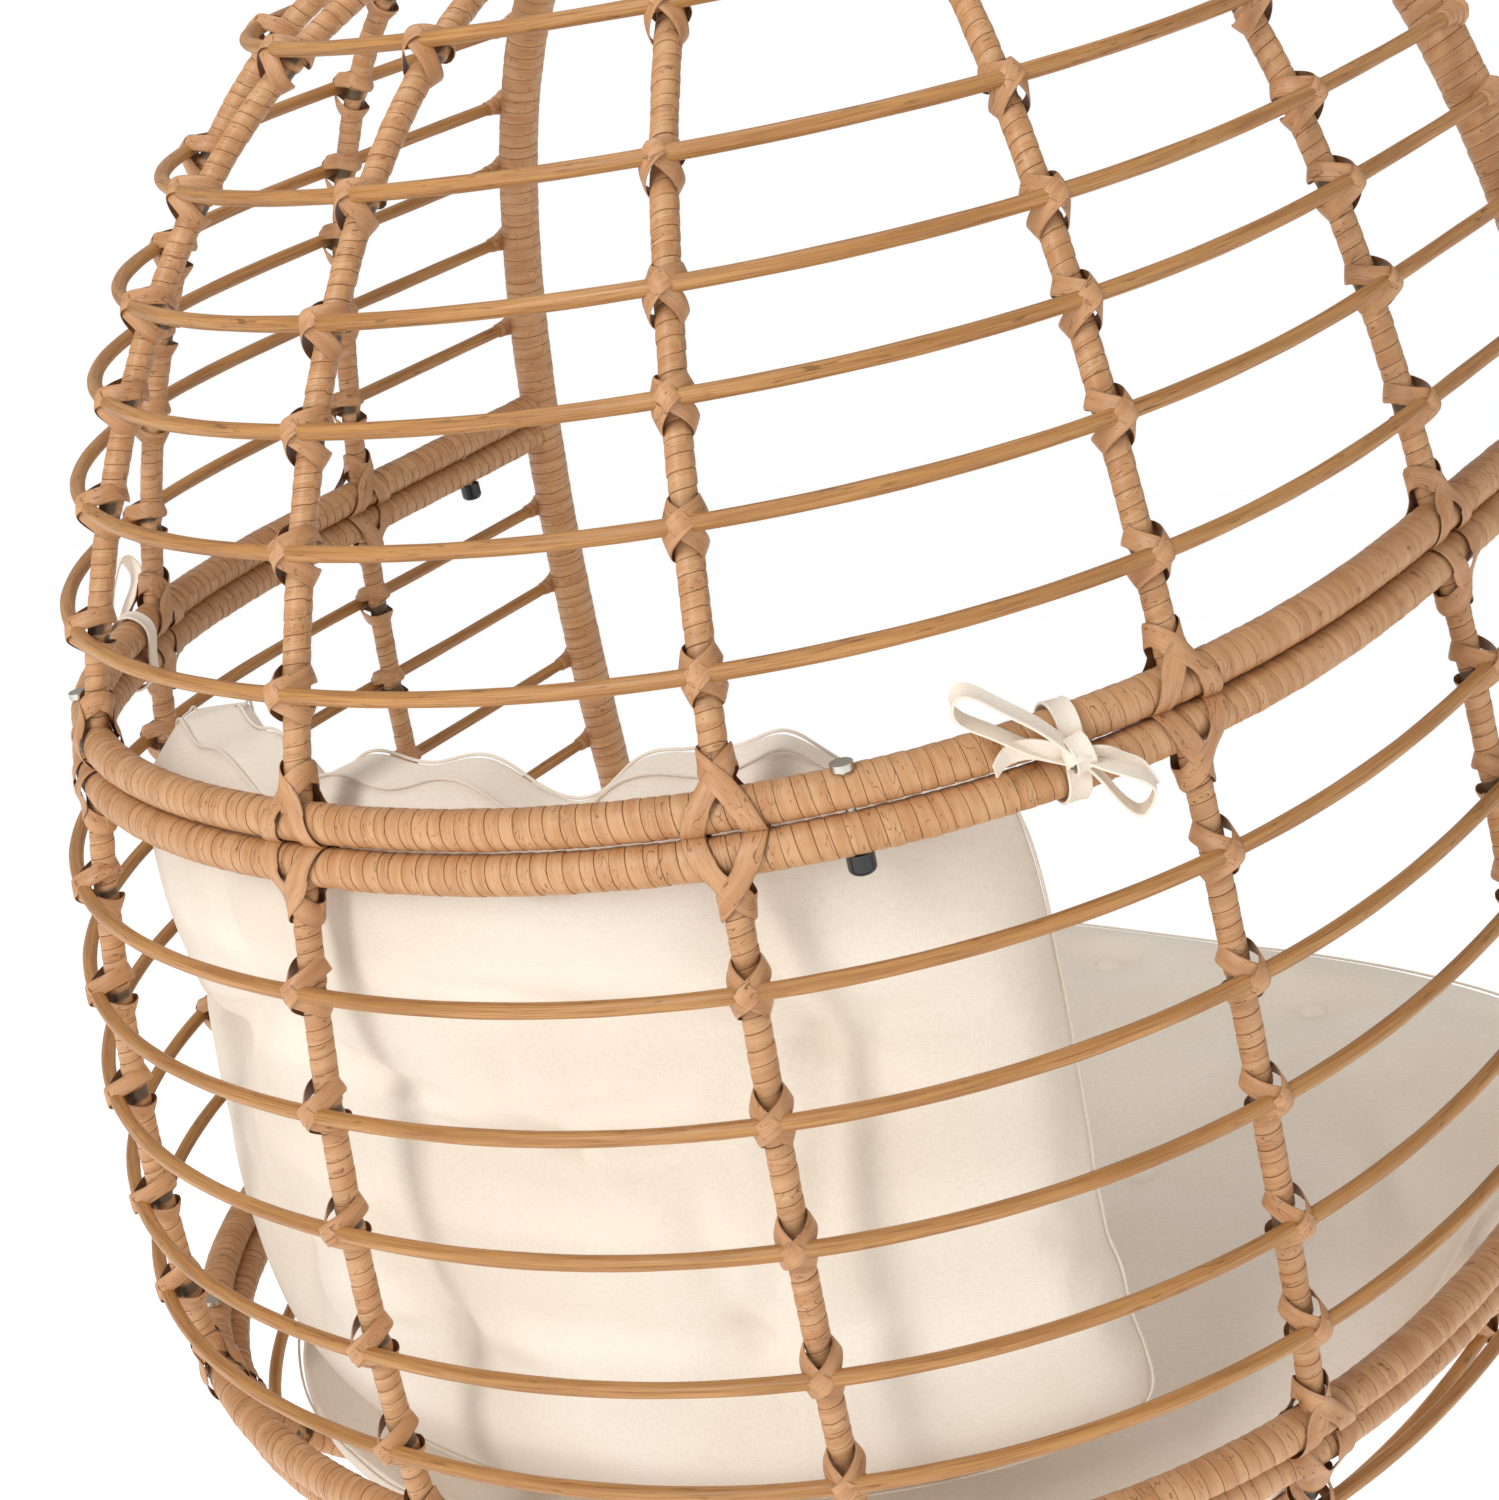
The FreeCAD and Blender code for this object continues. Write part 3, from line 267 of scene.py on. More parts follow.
def steady_frames(line):
    """Two unit vectors square to the line at each point, without twist."""
    ahead = tangents(line)
    first = np.zeros(line.shape)
    guide = np.array([0, 0, 1.0]) if abs(ahead[0][2]) < 0.9 else np.array([0, 1.0, 0])
    first[0] = unit(np.cross(ahead[0], guide))
    for k in range(1, len(line)):
        carried = first[k - 1] - ahead[k] * (first[k - 1] @ ahead[k])
        first[k] = carried / np.linalg.norm(carried)
    return first, np.cross(ahead, first)


def band_faces(rings, sides):
    """Quads between each ring of points and the next."""
    faces = []
    for k in range(rings - 1):
        for j in range(sides):
            following = (j + 1) % sides
            here, ahead = k * sides, (k + 1) * sides
            faces.append((here + j, here + following, ahead + following, ahead + j))
    return faces


def cap_faces(first, last, sides, centre):
    """Fans that close a tube at its first ring and at its last."""
    faces = []
    for j in range(sides):
        following = (j + 1) % sides
        faces.append((first + following, first + j, centre))
        faces.append((last + j, last + following, centre + 1))
    return faces


def new_piece(name, points, faces):
    mesh = bpy.data.meshes.new(name)
    mesh.from_pydata(points, [], faces)
    piece = bpy.data.objects.new(name, mesh)
    bpy.context.scene.collection.objects.link(piece)
    return piece


class Build:
    """Vertices, faces and point attributes gathered for one mesh."""

    def __init__(self):
        self.points = []
        self.faces = []
        self.grain = []
        self.shade = []
        self.bare = []
        self.count = 0

    def add(self, points, faces, grain, shade=None, bare=None):
        points = np.asarray(points, float)
        size = len(points)
        self.points.append(points)
        self.faces += [tuple(int(v) + self.count for v in face) for face in faces]
        self.grain.append(np.asarray(grain, float))
        self.shade.append(np.ones(size) if shade is None else np.asarray(shade, float))
        self.bare.append(np.zeros(size) if bare is None else np.asarray(bare, float))
        self.count += size

    def finish(self, name, material, slot, replaced=(), body=BODY, sharp=35):
        piece = new_piece(name, np.vstack(self.points).tolist(), self.faces)
        mesh = piece.data
        mesh.attributes.new("grain", "FLOAT_VECTOR", "POINT").data.foreach_set(
            "vector", np.vstack(self.grain).astype(np.float32).ravel())
        for label, values in (("shade", self.shade), ("bare", self.bare)):
            mesh.attributes.new(label, "FLOAT", "POINT").data.foreach_set(
                "value", np.concatenate(values).astype(np.float32))
        mesh.shade_smooth()
        mesh.set_sharp_from_angle(angle=math.radians(sharp))
        mesh.materials.append(material)
        return settle(piece, replaced, body)


def settle(piece, replaced=(), body=BODY):
    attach(piece, body)
    if replaced:
        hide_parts(*replaced)
    return piece


# ------------------------------------------------------------------ strip wound round a tube
STRIP = 0.0090             # width of strip that shows, so one turn's advance
STRIP_RISE = 0.0008        # thickness of the strip
ROWS = ((0.0, -0.8), (0.04, -0.1), (0.3, 0.05), (0.65, -0.05), (0.96, -0.35))
dice = random.Random(7)


def wound_tube(build, line, radius, sides=22, bare=(), pitch=STRIP, taper=None):
    """Tube wound with a flat strip: each turn stands on the last turn's edge."""
    count = max(24, int(length_of(line) / 0.004))
    line = resample(line, count)
    total = length_of(line)
    run = np.linspace(0, total, count)
    first, second = steady_frames(line)
    turns = int(total / pitch) + 4
    rows = turns * len(ROWS)
    k = np.repeat(np.arange(turns), len(ROWS)) - 2
    phase = np.tile([row[0] for row in ROWS], turns)
    rise = np.tile([row[1] for row in ROWS], turns)
    jitter = np.repeat([dice.uniform(-0.35, 0.15) for _ in range(turns)], len(ROWS))
    lap = np.repeat([dice.uniform(-0.10, 0.10) for _ in range(turns + 1)], len(ROWS))
    tilt = np.repeat([dice.uniform(-0.05, 0.05) for _ in range(turns)], len(ROWS))
    blend_lap = lap[:rows] * (1 - phase) + lap[len(ROWS):rows + len(ROWS)] * phase
    around = np.arange(sides) / sides
    theta = 2 * math.pi * around
    s = (k[:, None] + phase[:, None] + around[None, :] + blend_lap[:, None]) * pitch
    s += tilt[:, None] * pitch * np.sin(theta)[None, :] * (1 - phase[:, None])
    inside = (s > 0) & (s < total)
    s = np.clip(s, 0, total)
    thin = (rise + jitter)[:, None] * STRIP_RISE * np.ones((1, sides))
    is_bare = np.zeros((rows, sides))
    middle = (k + phase + 0.5) * pitch
    for low, high in bare:
        is_bare[(middle > low) & (middle < high)] = 1
    thin = np.where(is_bare > 0, -1.3 * STRIP_RISE, thin)
    thin = np.where(inside, thin, -STRIP_RISE)
    size = radius if taper is None else taper(s / total)
    spread = size + thin
    flat = s.ravel()

    def along(values):
        return np.stack([np.interp(flat, run, values[:, axis]) for axis in range(3)], axis=1)

    cos = np.tile(np.cos(theta), rows)[:, None]
    sin = np.tile(np.sin(theta), rows)[:, None]
    points = along(line) + (unit(along(first)) * cos + unit(along(second)) * sin) * spread.ravel()[:, None]
    # Points before the start or past the end share one ring at each end.
    ids = np.arange(rows * sides).reshape(rows, sides)
    raw = (k[:, None] + phase[:, None] + around[None, :] + blend_lap[:, None]) * pitch
    start_ring = np.tile(np.arange(sides), (rows, 1)) + rows * sides
    ids = np.where(~inside & (raw < total / 2), start_ring, ids)
    ids = np.where(~inside & (raw >= total / 2), start_ring + sides, ids)
    ring = np.stack([np.cos(theta), np.sin(theta)], axis=1)
    ends = []
    for index in (0, -1):
        size_here = radius if taper is None else taper(float(index != 0))
        lead = first[index] * ring[:, :1] + second[index] * ring[:, 1:]
        ends.append(line[index] + lead * (size_here - STRIP_RISE))
    points = np.vstack([points] + ends + [line[:1], line[-1:]])
    faces = []
    span = len(ROWS)
    for row in range(rows - span - 1):
        here = ids[row]
        ahead = ids[row + 1]
        for j in range(sides):
            if j + 1 < sides:
                quad = (here[j], here[j + 1], ahead[j + 1], ahead[j])
            else:
                quad = (here[j], ids[row + span][0], ids[row + span + 1][0], ahead[j])
            kept = []
            for v in quad:
                if v not in kept:
                    kept.append(v)
            if len(kept) > 2:
                faces.append(kept)
    first_cap = rows * sides
    faces += cap_faces(first_cap, first_cap + sides, sides, first_cap + 2 * sides)
    girth = 2 * math.pi * radius
    seed = dice.uniform(0, 50)
    grain = np.stack([
        ((k[:, None] + around[None, :]) * girth).ravel(),
        np.repeat(phase * pitch, sides),
        np.repeat(k * 0.731 + seed, sides),
    ], axis=1)
    # Shade share, painted shade: 0 darkens the groove where each turn stands on the last turn's edge.
    shade = np.repeat(np.where(phase == 0, 0.0, 1.0), sides)
    spare = 2 * sides + 2
    grain = np.vstack([grain, np.zeros((spare, 3))])
    # The end rings and cap centres get 0.6: painted shade at the tube's ends.
    shade = np.concatenate([shade, np.full(spare, 0.6)])
    bare_here = np.concatenate([is_bare.ravel(), np.zeros(spare)])
    used = np.zeros(len(points), bool)
    for face in faces:
        used[list(face)] = True
    renumber = np.cumsum(used) - 1
    faces = [tuple(renumber[v] for v in face) for face in faces]
    build.add(points[used], faces, grain[used], shade[used], bare_here[used])


def plain_tube(build, line, radius, sides=14, step=0.005, wander=0.0):
    """Smooth rod with closed ends."""
    count = max(8, int(length_of(line) / step))
    line = resample(line, count)
    first, second = steady_frames(line)
    theta = np.arange(sides) / sides * 2 * math.pi
    run = np.linspace(0, length_of(line), count)
    phase = dice.uniform(0, 6)
    thick = radius * (1 + wander * np.sin(run * 37 + phase) + 0.6 * wander * np.sin(run * 91 + 2 * phase))
    cos, sin = np.cos(theta)[None, :, None], np.sin(theta)[None, :, None]
    lead = first[:, None, :] * cos + second[:, None, :] * sin
    points = (line[:, None, :] + lead * thick[:, None, None]).reshape(-1, 3)
    points = np.vstack([points, line[:1], line[-1:]])
    faces = band_faces(count, sides) + cap_faces(0, (count - 1) * sides, sides, count * sides)
    grain = np.stack([
        np.repeat(run, sides), np.tile(np.sin(theta) * radius, count), np.tile(np.cos(theta) * radius, count),
    ], axis=1) + np.array([dice.uniform(0, 9), 0, 0])
    grain = np.vstack([grain, grain[:1], grain[-1:]])
    build.add(points, faces, grain)


# Across as a share of the width, and out as a share of the thickness.
STRIP_SECTION = (
    (-0.5, 0.2), (-0.42, 0.85), (-0.2, 1.0), (0.2, 1.0), (0.42, 0.85), (0.5, 0.2), (0.3, 0), (-0.3, 0),
)


def strip(build, line, normals, width, thickness, closed=False, seed=0.0, section=STRIP_SECTION):
    """Flat strip along a line, lying on the surface that the normals are square to."""
    ahead = tangents(line, closed)
    normals = unit(normals - ahead * np.sum(normals * ahead, axis=1)[:, None])
    across = np.cross(ahead, normals)
    wide = np.broadcast_to(width, (len(line),))
    shape = np.array(section)
    sides = len(shape)
    points = line[:, None, :] + across[:, None, :] * (shape[:, 0][None, :] * wide[:, None])[:, :, None]
    points = points + normals[:, None, :] * (shape[:, 1] * thickness)[None, :, None]
    count = len(line)
    faces = []
    for k in range(count if closed else count - 1):
        ahead_k = (k + 1) % count
        for j in range(sides):
            following = (j + 1) % sides
            faces.append((
                ahead_k * sides + j, ahead_k * sides + following, k * sides + following, k * sides + j,
            ))
    if not closed:
        faces.append(tuple(range(sides)))
        faces.append(tuple(reversed(range((count - 1) * sides, count * sides))))
    run = run_along(line)
    grain = np.stack([
        np.repeat(run, sides),
        (shape[:, 0][None, :] * wide[:, None] + 0.5 * wide[:, None]).ravel(),
        np.full(count * sides, seed),
    ], axis=1)
    # Underside and low edge points get a shade share of 0.25: painted shade where the strip lies on what it wraps.
    shade = np.tile(np.where(shape[:, 1] < 0.5, 0.25, 1.0), count)
    build.add(points.reshape(-1, 3), faces, grain, shade)


# ------------------------------------------------------------------ materials
class Nodes:
    """Short hand for building a node tree."""

    def __init__(self, name):
        self.material = bpy.data.materials.new(name)
        self.material.use_nodes = True
        self.tree = self.material.node_tree
        self.tree.nodes.clear()

    def add(self, kind, inputs=None, **settings):
        node = self.tree.nodes.new("ShaderNode" + kind)
        for key, value in settings.items():
            setattr(node, key, value)
        for key, value in (inputs or {}).items():
            if isinstance(value, bpy.types.NodeSocket):
                self.tree.links.new(value, node.inputs[key])
            else:
                node.inputs[key].default_value = value
        return node

    def math(self, operation, first, second=0.0):
        return self.add("Math", {0: first, 1: second}, operation=operation).outputs[0]

    def mix(self, share, first, second):
        node = self.add("Mix", {0: share, 6: first, 7: second}, data_type="RGBA")
        return node.outputs[2]

    def multiply(self, share, first, second):
        node = self.add("Mix", {0: share, 6: first, 7: second}, data_type="RGBA", blend_type="MULTIPLY")
        return node.outputs[2]

    def ramp(self, value, low, high):
        """0 below low, 1 above high."""
        return self.add("MapRange", {0: value, 1: low, 2: high}, interpolation_type="SMOOTHSTEP").outputs[0]

    def noise(self, vector, scale, detail=2.0, rough=0.5):
        stretched = self.add("VectorMath", {0: vector, 1: scale}, operation="MULTIPLY").outputs[0]
        inputs = {"Vector": stretched, "Scale": 1.0, "Detail": detail, "Roughness": rough}
        return self.add("TexNoise", inputs).outputs[0]

    def attribute(self, name):
        return self.add("Attribute", attribute_name=name)

    def bump(self, height, strength, distance):
        return self.add("Bump", {"Height": height, "Strength": strength, "Distance": distance}).outputs[0]

    def finish(self, **inputs):
        shader = self.add("BsdfPrincipled", {key.replace("_", " "): value for key, value in inputs.items()})
        out = self.add("OutputMaterial")
        self.tree.links.new(shader.outputs[0], out.inputs[0])
        return self.material


def srgb(code):
    """Linear colour from a hex code."""
    values = [int(code[k:k + 2], 16) / 255 for k in (0, 2, 4)]
    return [v / 12.92 if v <= 0.04045 else ((v + 0.055) / 1.055) ** 2.4 for v in values] + [1.0]


def strip_material(name, light, dark, line_colour):
    """Flat woven-plastic strip: fine streaks along it, thin arched grain lines and dark flecks."""
    n = Nodes(name)
    grain = n.attribute("grain").outputs["Vector"]
    shade = n.attribute("shade").outputs["Fac"]
    bare = n.attribute("bare").outputs["Fac"]
    broad = n.noise(grain, (22, 160, 3.7), 1.0)
    fine = n.noise(grain, (35, 2600, 9.1), 2.0, 0.6)
    colour = n.mix(n.ramp(broad, 0.3, 0.72), srgb(light), srgb(dark))
    colour = n.multiply(n.math("MULTIPLY", n.ramp(fine, 0.45, 0.75), 0.35), colour, srgb("B98A60"))
    # Arched lines are the contours of a field stretched along the strip.
    field = n.noise(grain, (48, 210, 5.3), 0.5)
    contour = n.math("PINGPONG", n.math("MULTIPLY", field, 5.5), 0.5)
    thin_line = n.math("SUBTRACT", 1.0, n.ramp(contour, 0.02, 0.075))
    here = n.ramp(n.noise(grain, (30, 120, 7.7), 0.0), 0.50, 0.62)
    colour = n.mix(n.math("MULTIPLY", n.math("MULTIPLY", thin_line, here), 0.75), colour, srgb(line_colour))
    fleck = n.ramp(n.noise(grain, (260, 1100, 2.9), 1.0), 0.66, 0.74)
    patch = n.ramp(n.noise(grain, (70, 260, 4.1), 1.0), 0.45, 0.62)
    colour = n.mix(n.math("MULTIPLY", n.math("MULTIPLY", fleck, patch), 0.85), colour, srgb("6B4423"))
    # Painted shade: the shade attribute darkens the grooves between turns, the strip undersides and the tube ends
    # towards dark brown.
    painted_shade = n.ramp(shade, 0.0, 0.8)
    colour = n.mix(painted_shade, srgb("7A5433"), colour)
    colour = n.mix(bare, colour, srgb("5E4A34"))
    rough = n.math("ADD", n.math("MULTIPLY", fine, 0.16), 0.33)
    normal = n.bump(n.math("SUBTRACT", fine, n.math("MULTIPLY", thin_line, 0.4)), 0.22, 0.0006)
    return n.finish(Base_Color=colour, Roughness=rough, Normal=normal, Specular_IOR_Level=0.42)


def rod_material():
    """Smooth cane rod with lengthwise streaks and short dark dashes."""
    n = Nodes("cane_rod")
    grain = n.attribute("grain").outputs["Vector"]
    broad = n.noise(grain, (9, 260, 260), 1.0)
    fine = n.noise(grain, (26, 1500, 1500), 2.0, 0.6)
    colour = n.mix(n.ramp(broad, 0.3, 0.7), srgb("B8874F"), srgb("A4733F"))
    colour = n.multiply(n.math("MULTIPLY", n.ramp(fine, 0.42, 0.72), 0.55), colour, srgb("A87C50"))
    dash = n.ramp(n.noise(grain, (55, 420, 420), 1.5), 0.62, 0.72)
    place = n.ramp(n.noise(grain, (14, 130, 130), 0.0), 0.48, 0.62)
    colour = n.mix(n.math("MULTIPLY", n.math("MULTIPLY", dash, place), 0.75), colour, srgb("6E4A28"))
    rough = n.math("ADD", n.math("MULTIPLY", fine, 0.2), 0.32)
    normal = n.bump(fine, 0.18, 0.0005)
    return n.finish(Base_Color=colour, Roughness=rough, Normal=normal, Specular_IOR_Level=0.42)


def cloth_material(name, light, dark, thread=2300):
    """Fine plain weave with a soft sheen."""
    n = Nodes(name)
    place = n.add("TexCoord").outputs["Object"]
    broad = n.noise(place, (7, 7, 7), 2.0)
    warp = n.noise(place, (thread, thread, 180), 1.0)
    weft = n.noise(place, (220, 220, thread), 1.0)
    weave = n.math("ADD", warp, weft)
    colour = n.mix(n.ramp(broad, 0.3, 0.7), srgb(light), srgb(dark))
    colour = n.multiply(n.math("MULTIPLY", n.ramp(weave, 0.9, 1.25), 0.22), colour, srgb("D9CDBC"))
    # Painted shade: the seam attribute darkens the cloth in the tufts and along the edge seams.
    painted_seam_shade = n.attribute("seam").outputs["Fac"]
    colour = n.mix(n.math("MULTIPLY", painted_seam_shade, 0.45), colour, srgb("B49A7C"))
    normal = n.bump(weave, 0.10, 0.0004)
    return n.finish(
        Base_Color=colour, Roughness=0.86, Normal=normal, Specular_IOR_Level=0.18,
        Sheen_Weight=0.18, Sheen_Roughness=0.5, Sheen_Tint=srgb("FFF6E8"),
    )


def metal_material(name, colour_code, rough, streak, metallic=1.0, spangle=0.0):
    """Plated steel with fine drawn streaks, slight clouding and duller patches."""
    n = Nodes(name)
    place = n.add("TexCoord").outputs["Object"]
    cloud = n.noise(place, (60, 60, 60), 3.0)
    drawn = n.noise(place, (3000, 3000, 160) if streak else (900, 900, 900), 1.0)
    cells = n.add("TexVoronoi", {"Vector": place, "Scale": 260.0}).outputs["Color"]
    grey = n.add("SeparateColor", {0: cells}).outputs[0]
    colour = n.multiply(n.math("MULTIPLY", n.ramp(cloud, 0.35, 0.7), 0.35), srgb(colour_code), srgb("B8B4AC"))
    colour = n.multiply(n.math("MULTIPLY", grey, spangle), colour, srgb("9A9EA2"))
    roughness = n.math("ADD", n.math("MULTIPLY", cloud, 0.22), rough)
    normal = n.bump(drawn, 0.12, 0.0003)
    return n.finish(Base_Color=colour, Roughness=roughness, Metallic=metallic, Normal=normal)


def gloss_plastic():
    n = Nodes("black_cap")
    place = n.add("TexCoord").outputs["Object"]
    cloud = n.noise(place, (400, 400, 400), 2.0)
    rough = n.math("ADD", n.math("MULTIPLY", cloud, 0.12), 0.12)
    normal = n.bump(cloud, 0.05, 0.0003)
    return n.finish(Base_Color=srgb("101011"), Roughness=rough, Normal=normal, Specular_IOR_Level=0.6)


WRAP = strip_material("wicker_wrap", "C89B6F", "B98659", "6E4728")
TIE = strip_material("tie_strip", "C4956A", "B58358", "6E4728")
ROD = rod_material()
CLOTH = cloth_material("cushion_cloth", "EFE6D9", "E8DDCD")
RIBBON = cloth_material("ribbon_cloth", "F0E6D8", "E6D9C8", thread=1900)
STEEL = metal_material("hanging_steel", "C4C6C8", 0.24, False, spangle=0.35)
SPRING = metal_material("spring_steel", "B2B4B6", 0.30, True, spangle=0.15)
ZINC = metal_material("zinc_fastener", "C9C6BC", 0.26, True)
BRONZE = metal_material("washer_bronze", "C79A5A", 0.32, True)
BLACK = gloss_plastic()
CAD_MATERIALS = {
    "hanging_steel": STEEL, "spring_steel": SPRING, "zinc_fastener": ZINC,
    "washer_bronze": BRONZE, "black_cap": BLACK, "wicker_wrap": WRAP,
}
for part in frame["record"]["subparts"]:
    if part["material_slot"] in CAD_MATERIALS:
        node = frame["nodes"][part["node"]]
        node.data.materials.clear()
        node.data.materials.append(CAD_MATERIALS[part["material_slot"]])
        node.data.shade_smooth()
        node.data.set_sharp_from_angle(angle=math.radians(30))

# ------------------------------------------------------------------ ribs, seam tubes and rims
KNOT_HALF = 0.0040         # bare stretch of a rib each side of a crossing
RIB_GAP = 0.009            # from a seam tube's axis to the end of a rib
RIB_SIDES = 18
RIM_SIDES = 26
RIM_PITCH = 0.0098


def one_tube(name, line, radius, **options):
    build = Build()
    wound_tube(build, line, radius, **options)
    return build.finish(name + "_wound", WRAP, "wicker_wrap", [name])


def ring_line(height, standoff, stop, count=120):
    turns = np.linspace(-stop, stop, count)
    return to_row([form_point(turn, height, standoff) for turn in turns])


def bare_stretches(line, spots):
    """Distances along a line near each spot."""
    run = run_along(line)
    stretches = []
    for spot in spots:
        near = run[np.argmin(np.linalg.norm(line - spot, axis=1))]
        stretches.append((near - KNOT_HALF, near + KNOT_HALF))
    return stretches


seam_levels = {
    "dome_seam_tube": HALF_PITCH, "middle_top_tube": -HALF_PITCH,
    "middle_bottom_tube": LOWER_SEAM + HALF_PITCH, "bowl_seam_tube": LOWER_SEAM - HALF_PITCH,
}
for name, level in seam_levels.items():
    stop = end_turn(level, 0, RIM_RADIUS * 0.8)
    one_tube(name, ring_line(level, 0, stop), SEAM_RADIUS)


def dome_rib_line(degrees):
    shoulder = 0.300
    points = [form_point(degrees, height) for height in np.linspace(HALF_PITCH + RIB_GAP, shoulder, 20)]
    wide = reach(degrees, shoulder)
    for share in np.linspace(0.95, 0, 24):
        radius = (HUB_RADIUS - 0.004) + (wide - HUB_RADIUS) * share
        points.append(form_point(degrees, crown_height(degrees, radius)))
    return spline(points, 260)


ring_height = bottom_height(0, RING_RADIUS)


def bowl_rib_line(degrees, top_point, top_height):
    stop = RING_RADIUS + 0.004
    wide = reach(degrees, top_height)
    points = [top_point]
    for share in np.linspace(0.96, 0.12, 16):
        radius = stop + (wide - stop) * share
        height = bottom_height(degrees, radius)
        if height < top_height - 0.006:
            points.append(form_point(degrees, height))
    turn = math.radians(degrees)
    points.append(np.array([stop * math.sin(turn), stop * math.cos(turn), ring_height]))
    return spline(points, 160)


def crossings(degrees, levels):
    return to_row([form_point(degrees, level) for level in levels])


bowl_top = LOWER_SEAM - HALF_PITCH
for place, degrees in RIB_ANGLES.items():
    line = to_row(dome_rib_line(degrees))
    spots = bare_stretches(line, crossings(degrees, DOME_RODS))
    one_tube("dome_rib_" + place, line, RIB_RADIUS, sides=RIB_SIDES, bare=spots)
    heights = np.linspace(-HALF_PITCH - RIB_GAP, LOWER_SEAM + HALF_PITCH + RIB_GAP, 60)
    line = to_row([form_point(degrees, height) for height in heights])
    spots = bare_stretches(line, crossings(degrees, MIDDLE_RODS))
    one_tube("middle_rib_" + place, line, RIB_RADIUS, sides=RIB_SIDES, bare=spots)
    top = bowl_top - RIB_GAP
    line = to_row(bowl_rib_line(degrees, form_point(degrees, top), top))
    spots = bare_stretches(line, crossings(degrees, BOWL_RODS))
    one_tube("bowl_rib_" + place, line, RIB_RADIUS, sides=RIB_SIDES, bare=spots)

front_ribs = Build()
for degrees in FRONT_RIB_ANGLES:
    share = (abs(degrees) - FRONT_START) / (180 - FRONT_START)
    lip = lip_point(share, 1 if degrees > 0 else -1)
    top = lip[2] - 0.010
    line = to_row(bowl_rib_line(degrees, form_point(degrees, top), top))
    spots = bare_stretches(line, crossings(degrees, HOOP_RODS))
    wound_tube(front_ribs, line, RIB_RADIUS, sides=RIB_SIDES, bare=spots)
front_ribs.finish("bowl_front_ribs_wound", WRAP, "wicker_wrap", ["bowl_front_ribs"])

arch_side = [rim_point(1, level) for level in (0.0003,) + ARCH_LEVELS]
mirror = np.array([-1, 1, 1])
arch_top = np.array([0, -ARCH_FORWARD, CROWN_LEVEL - 0.001])
arch = arch_side + [arch_top] + [point * mirror for point in reversed(arch_side)]
one_tube("dome_rim_arch", to_row(spline(arch, 500)), RIM_RADIUS, sides=RIM_SIDES, pitch=RIM_PITCH)
for name, side in (("middle_rim_right", 1), ("middle_rim_left", -1)):
    line = to_row([rim_point(side, height) for height in np.linspace(0, LOWER_SEAM, 60)])
    one_tube(name, line, RIM_RADIUS, sides=RIM_SIDES, pitch=RIM_PITCH)
LIP_SHARES = (0, 0.01, 0.03, 0.06, 0.1, 0.16, 0.22, 0.3, 0.4, 0.5, 0.6, 0.7, 0.8, 0.9)
lip_side = [lip_point(share) for share in LIP_SHARES]
lip_line = lip_side + [lip_point(1.0)] + [point * mirror for point in reversed(lip_side)]
one_tube("bowl_rim_lip", to_row(spline(lip_line, 400)), RIM_RADIUS, sides=RIM_SIDES, pitch=RIM_PITCH)

turns = np.linspace(0, 2 * math.pi, 90)
ring = [np.array([RING_RADIUS * math.sin(t), RING_RADIUS * math.cos(t), ring_height]) for t in turns]
one_tube("bottom_ring", to_row(ring), RIB_RADIUS, sides=RIB_SIDES)

# ------------------------------------------------------------------ cane rods
TAPER_LENGTH = 0.024


def flare(share):
    """Radius of a rod's end wrap, which widens towards the rim."""
    return ROD_RADIUS + 0.0012 + 0.0052 * np.asarray(share) ** 2.2


def rod_set(name, levels):
    rods = Build()
    tapers = Build()
    for height in levels:
        if height < lip_point(1.0)[2]:
            line = ring_line(height, ROD_STANDOFF, 179.9, 220)
            plain_tube(rods, line, ROD_RADIUS, wander=0.02)
            continue
        stop = end_turn(height, ROD_STANDOFF, RIM_RADIUS * 0.75)
        line = ring_line(height, ROD_STANDOFF, stop, 160)
        plain_tube(rods, line, ROD_RADIUS, wander=0.02)
        dense = resample(line, 600)
        share = int(TAPER_LENGTH / length_of(line) * 600)
        for end in (dense[:share + 1][::-1], dense[-share - 1:]):
            wound_tube(tapers, end, ROD_RADIUS + 0.002, sides=16, pitch=0.0065, taper=flare)
    rods.finish(name + "_cane", ROD, "cane_rod", [name], sharp=60)
    tapers.finish(name + "_end_wraps", TIE, "tie_strip")


rod_set("dome_rods", DOME_RODS)
rod_set("middle_rods", MIDDLE_RODS)
rod_set("bowl_rods", BOWL_RODS)

# ------------------------------------------------------------------ knots and joint wraps
TIE_WIDTH = 0.0135
TIE_THICKNESS = 0.0011
# One strip crosses over the rod twice and runs behind the rib above and below it, in millimetres:
# along the rod, along the rib, and outward from the rib's axis.
KNOT = (
    (0, 12, -9.0), (-8.7, 12.6, -2.0), (-9.6, 9.8, 6.5), (-6.0, 5.2, 15.6), (0, 0, 20.4),
    (6.0, -5.2, 15.6), (9.6, -9.8, 6.5), (8.7, -12.6, -2.0), (0, -12, -9.0),
    (-8.7, -12.4, -2.0), (-9.3, -9.4, 6.2), (-5.4, -4.6, 14.8), (0, 0, 19.4),
    (5.4, 4.6, 14.8), (9.3, 9.4, 6.2), (8.7, 12.4, -2.0),
)


def local_axes(degrees, height):
    """Along the rod, along the rib and outward, as columns, in the row frame."""
    outward = outward_at(degrees, height)
    turn = math.radians(degrees)
    sideways = np.array([math.cos(turn), -math.sin(turn), 0])
    sideways = unit(sideways - outward * (sideways @ outward))
    upward = np.cross(outward, sideways)
    if upward[2] < 0:
        upward = -upward
    return HANG @ np.stack([sideways, upward, outward], axis=1)


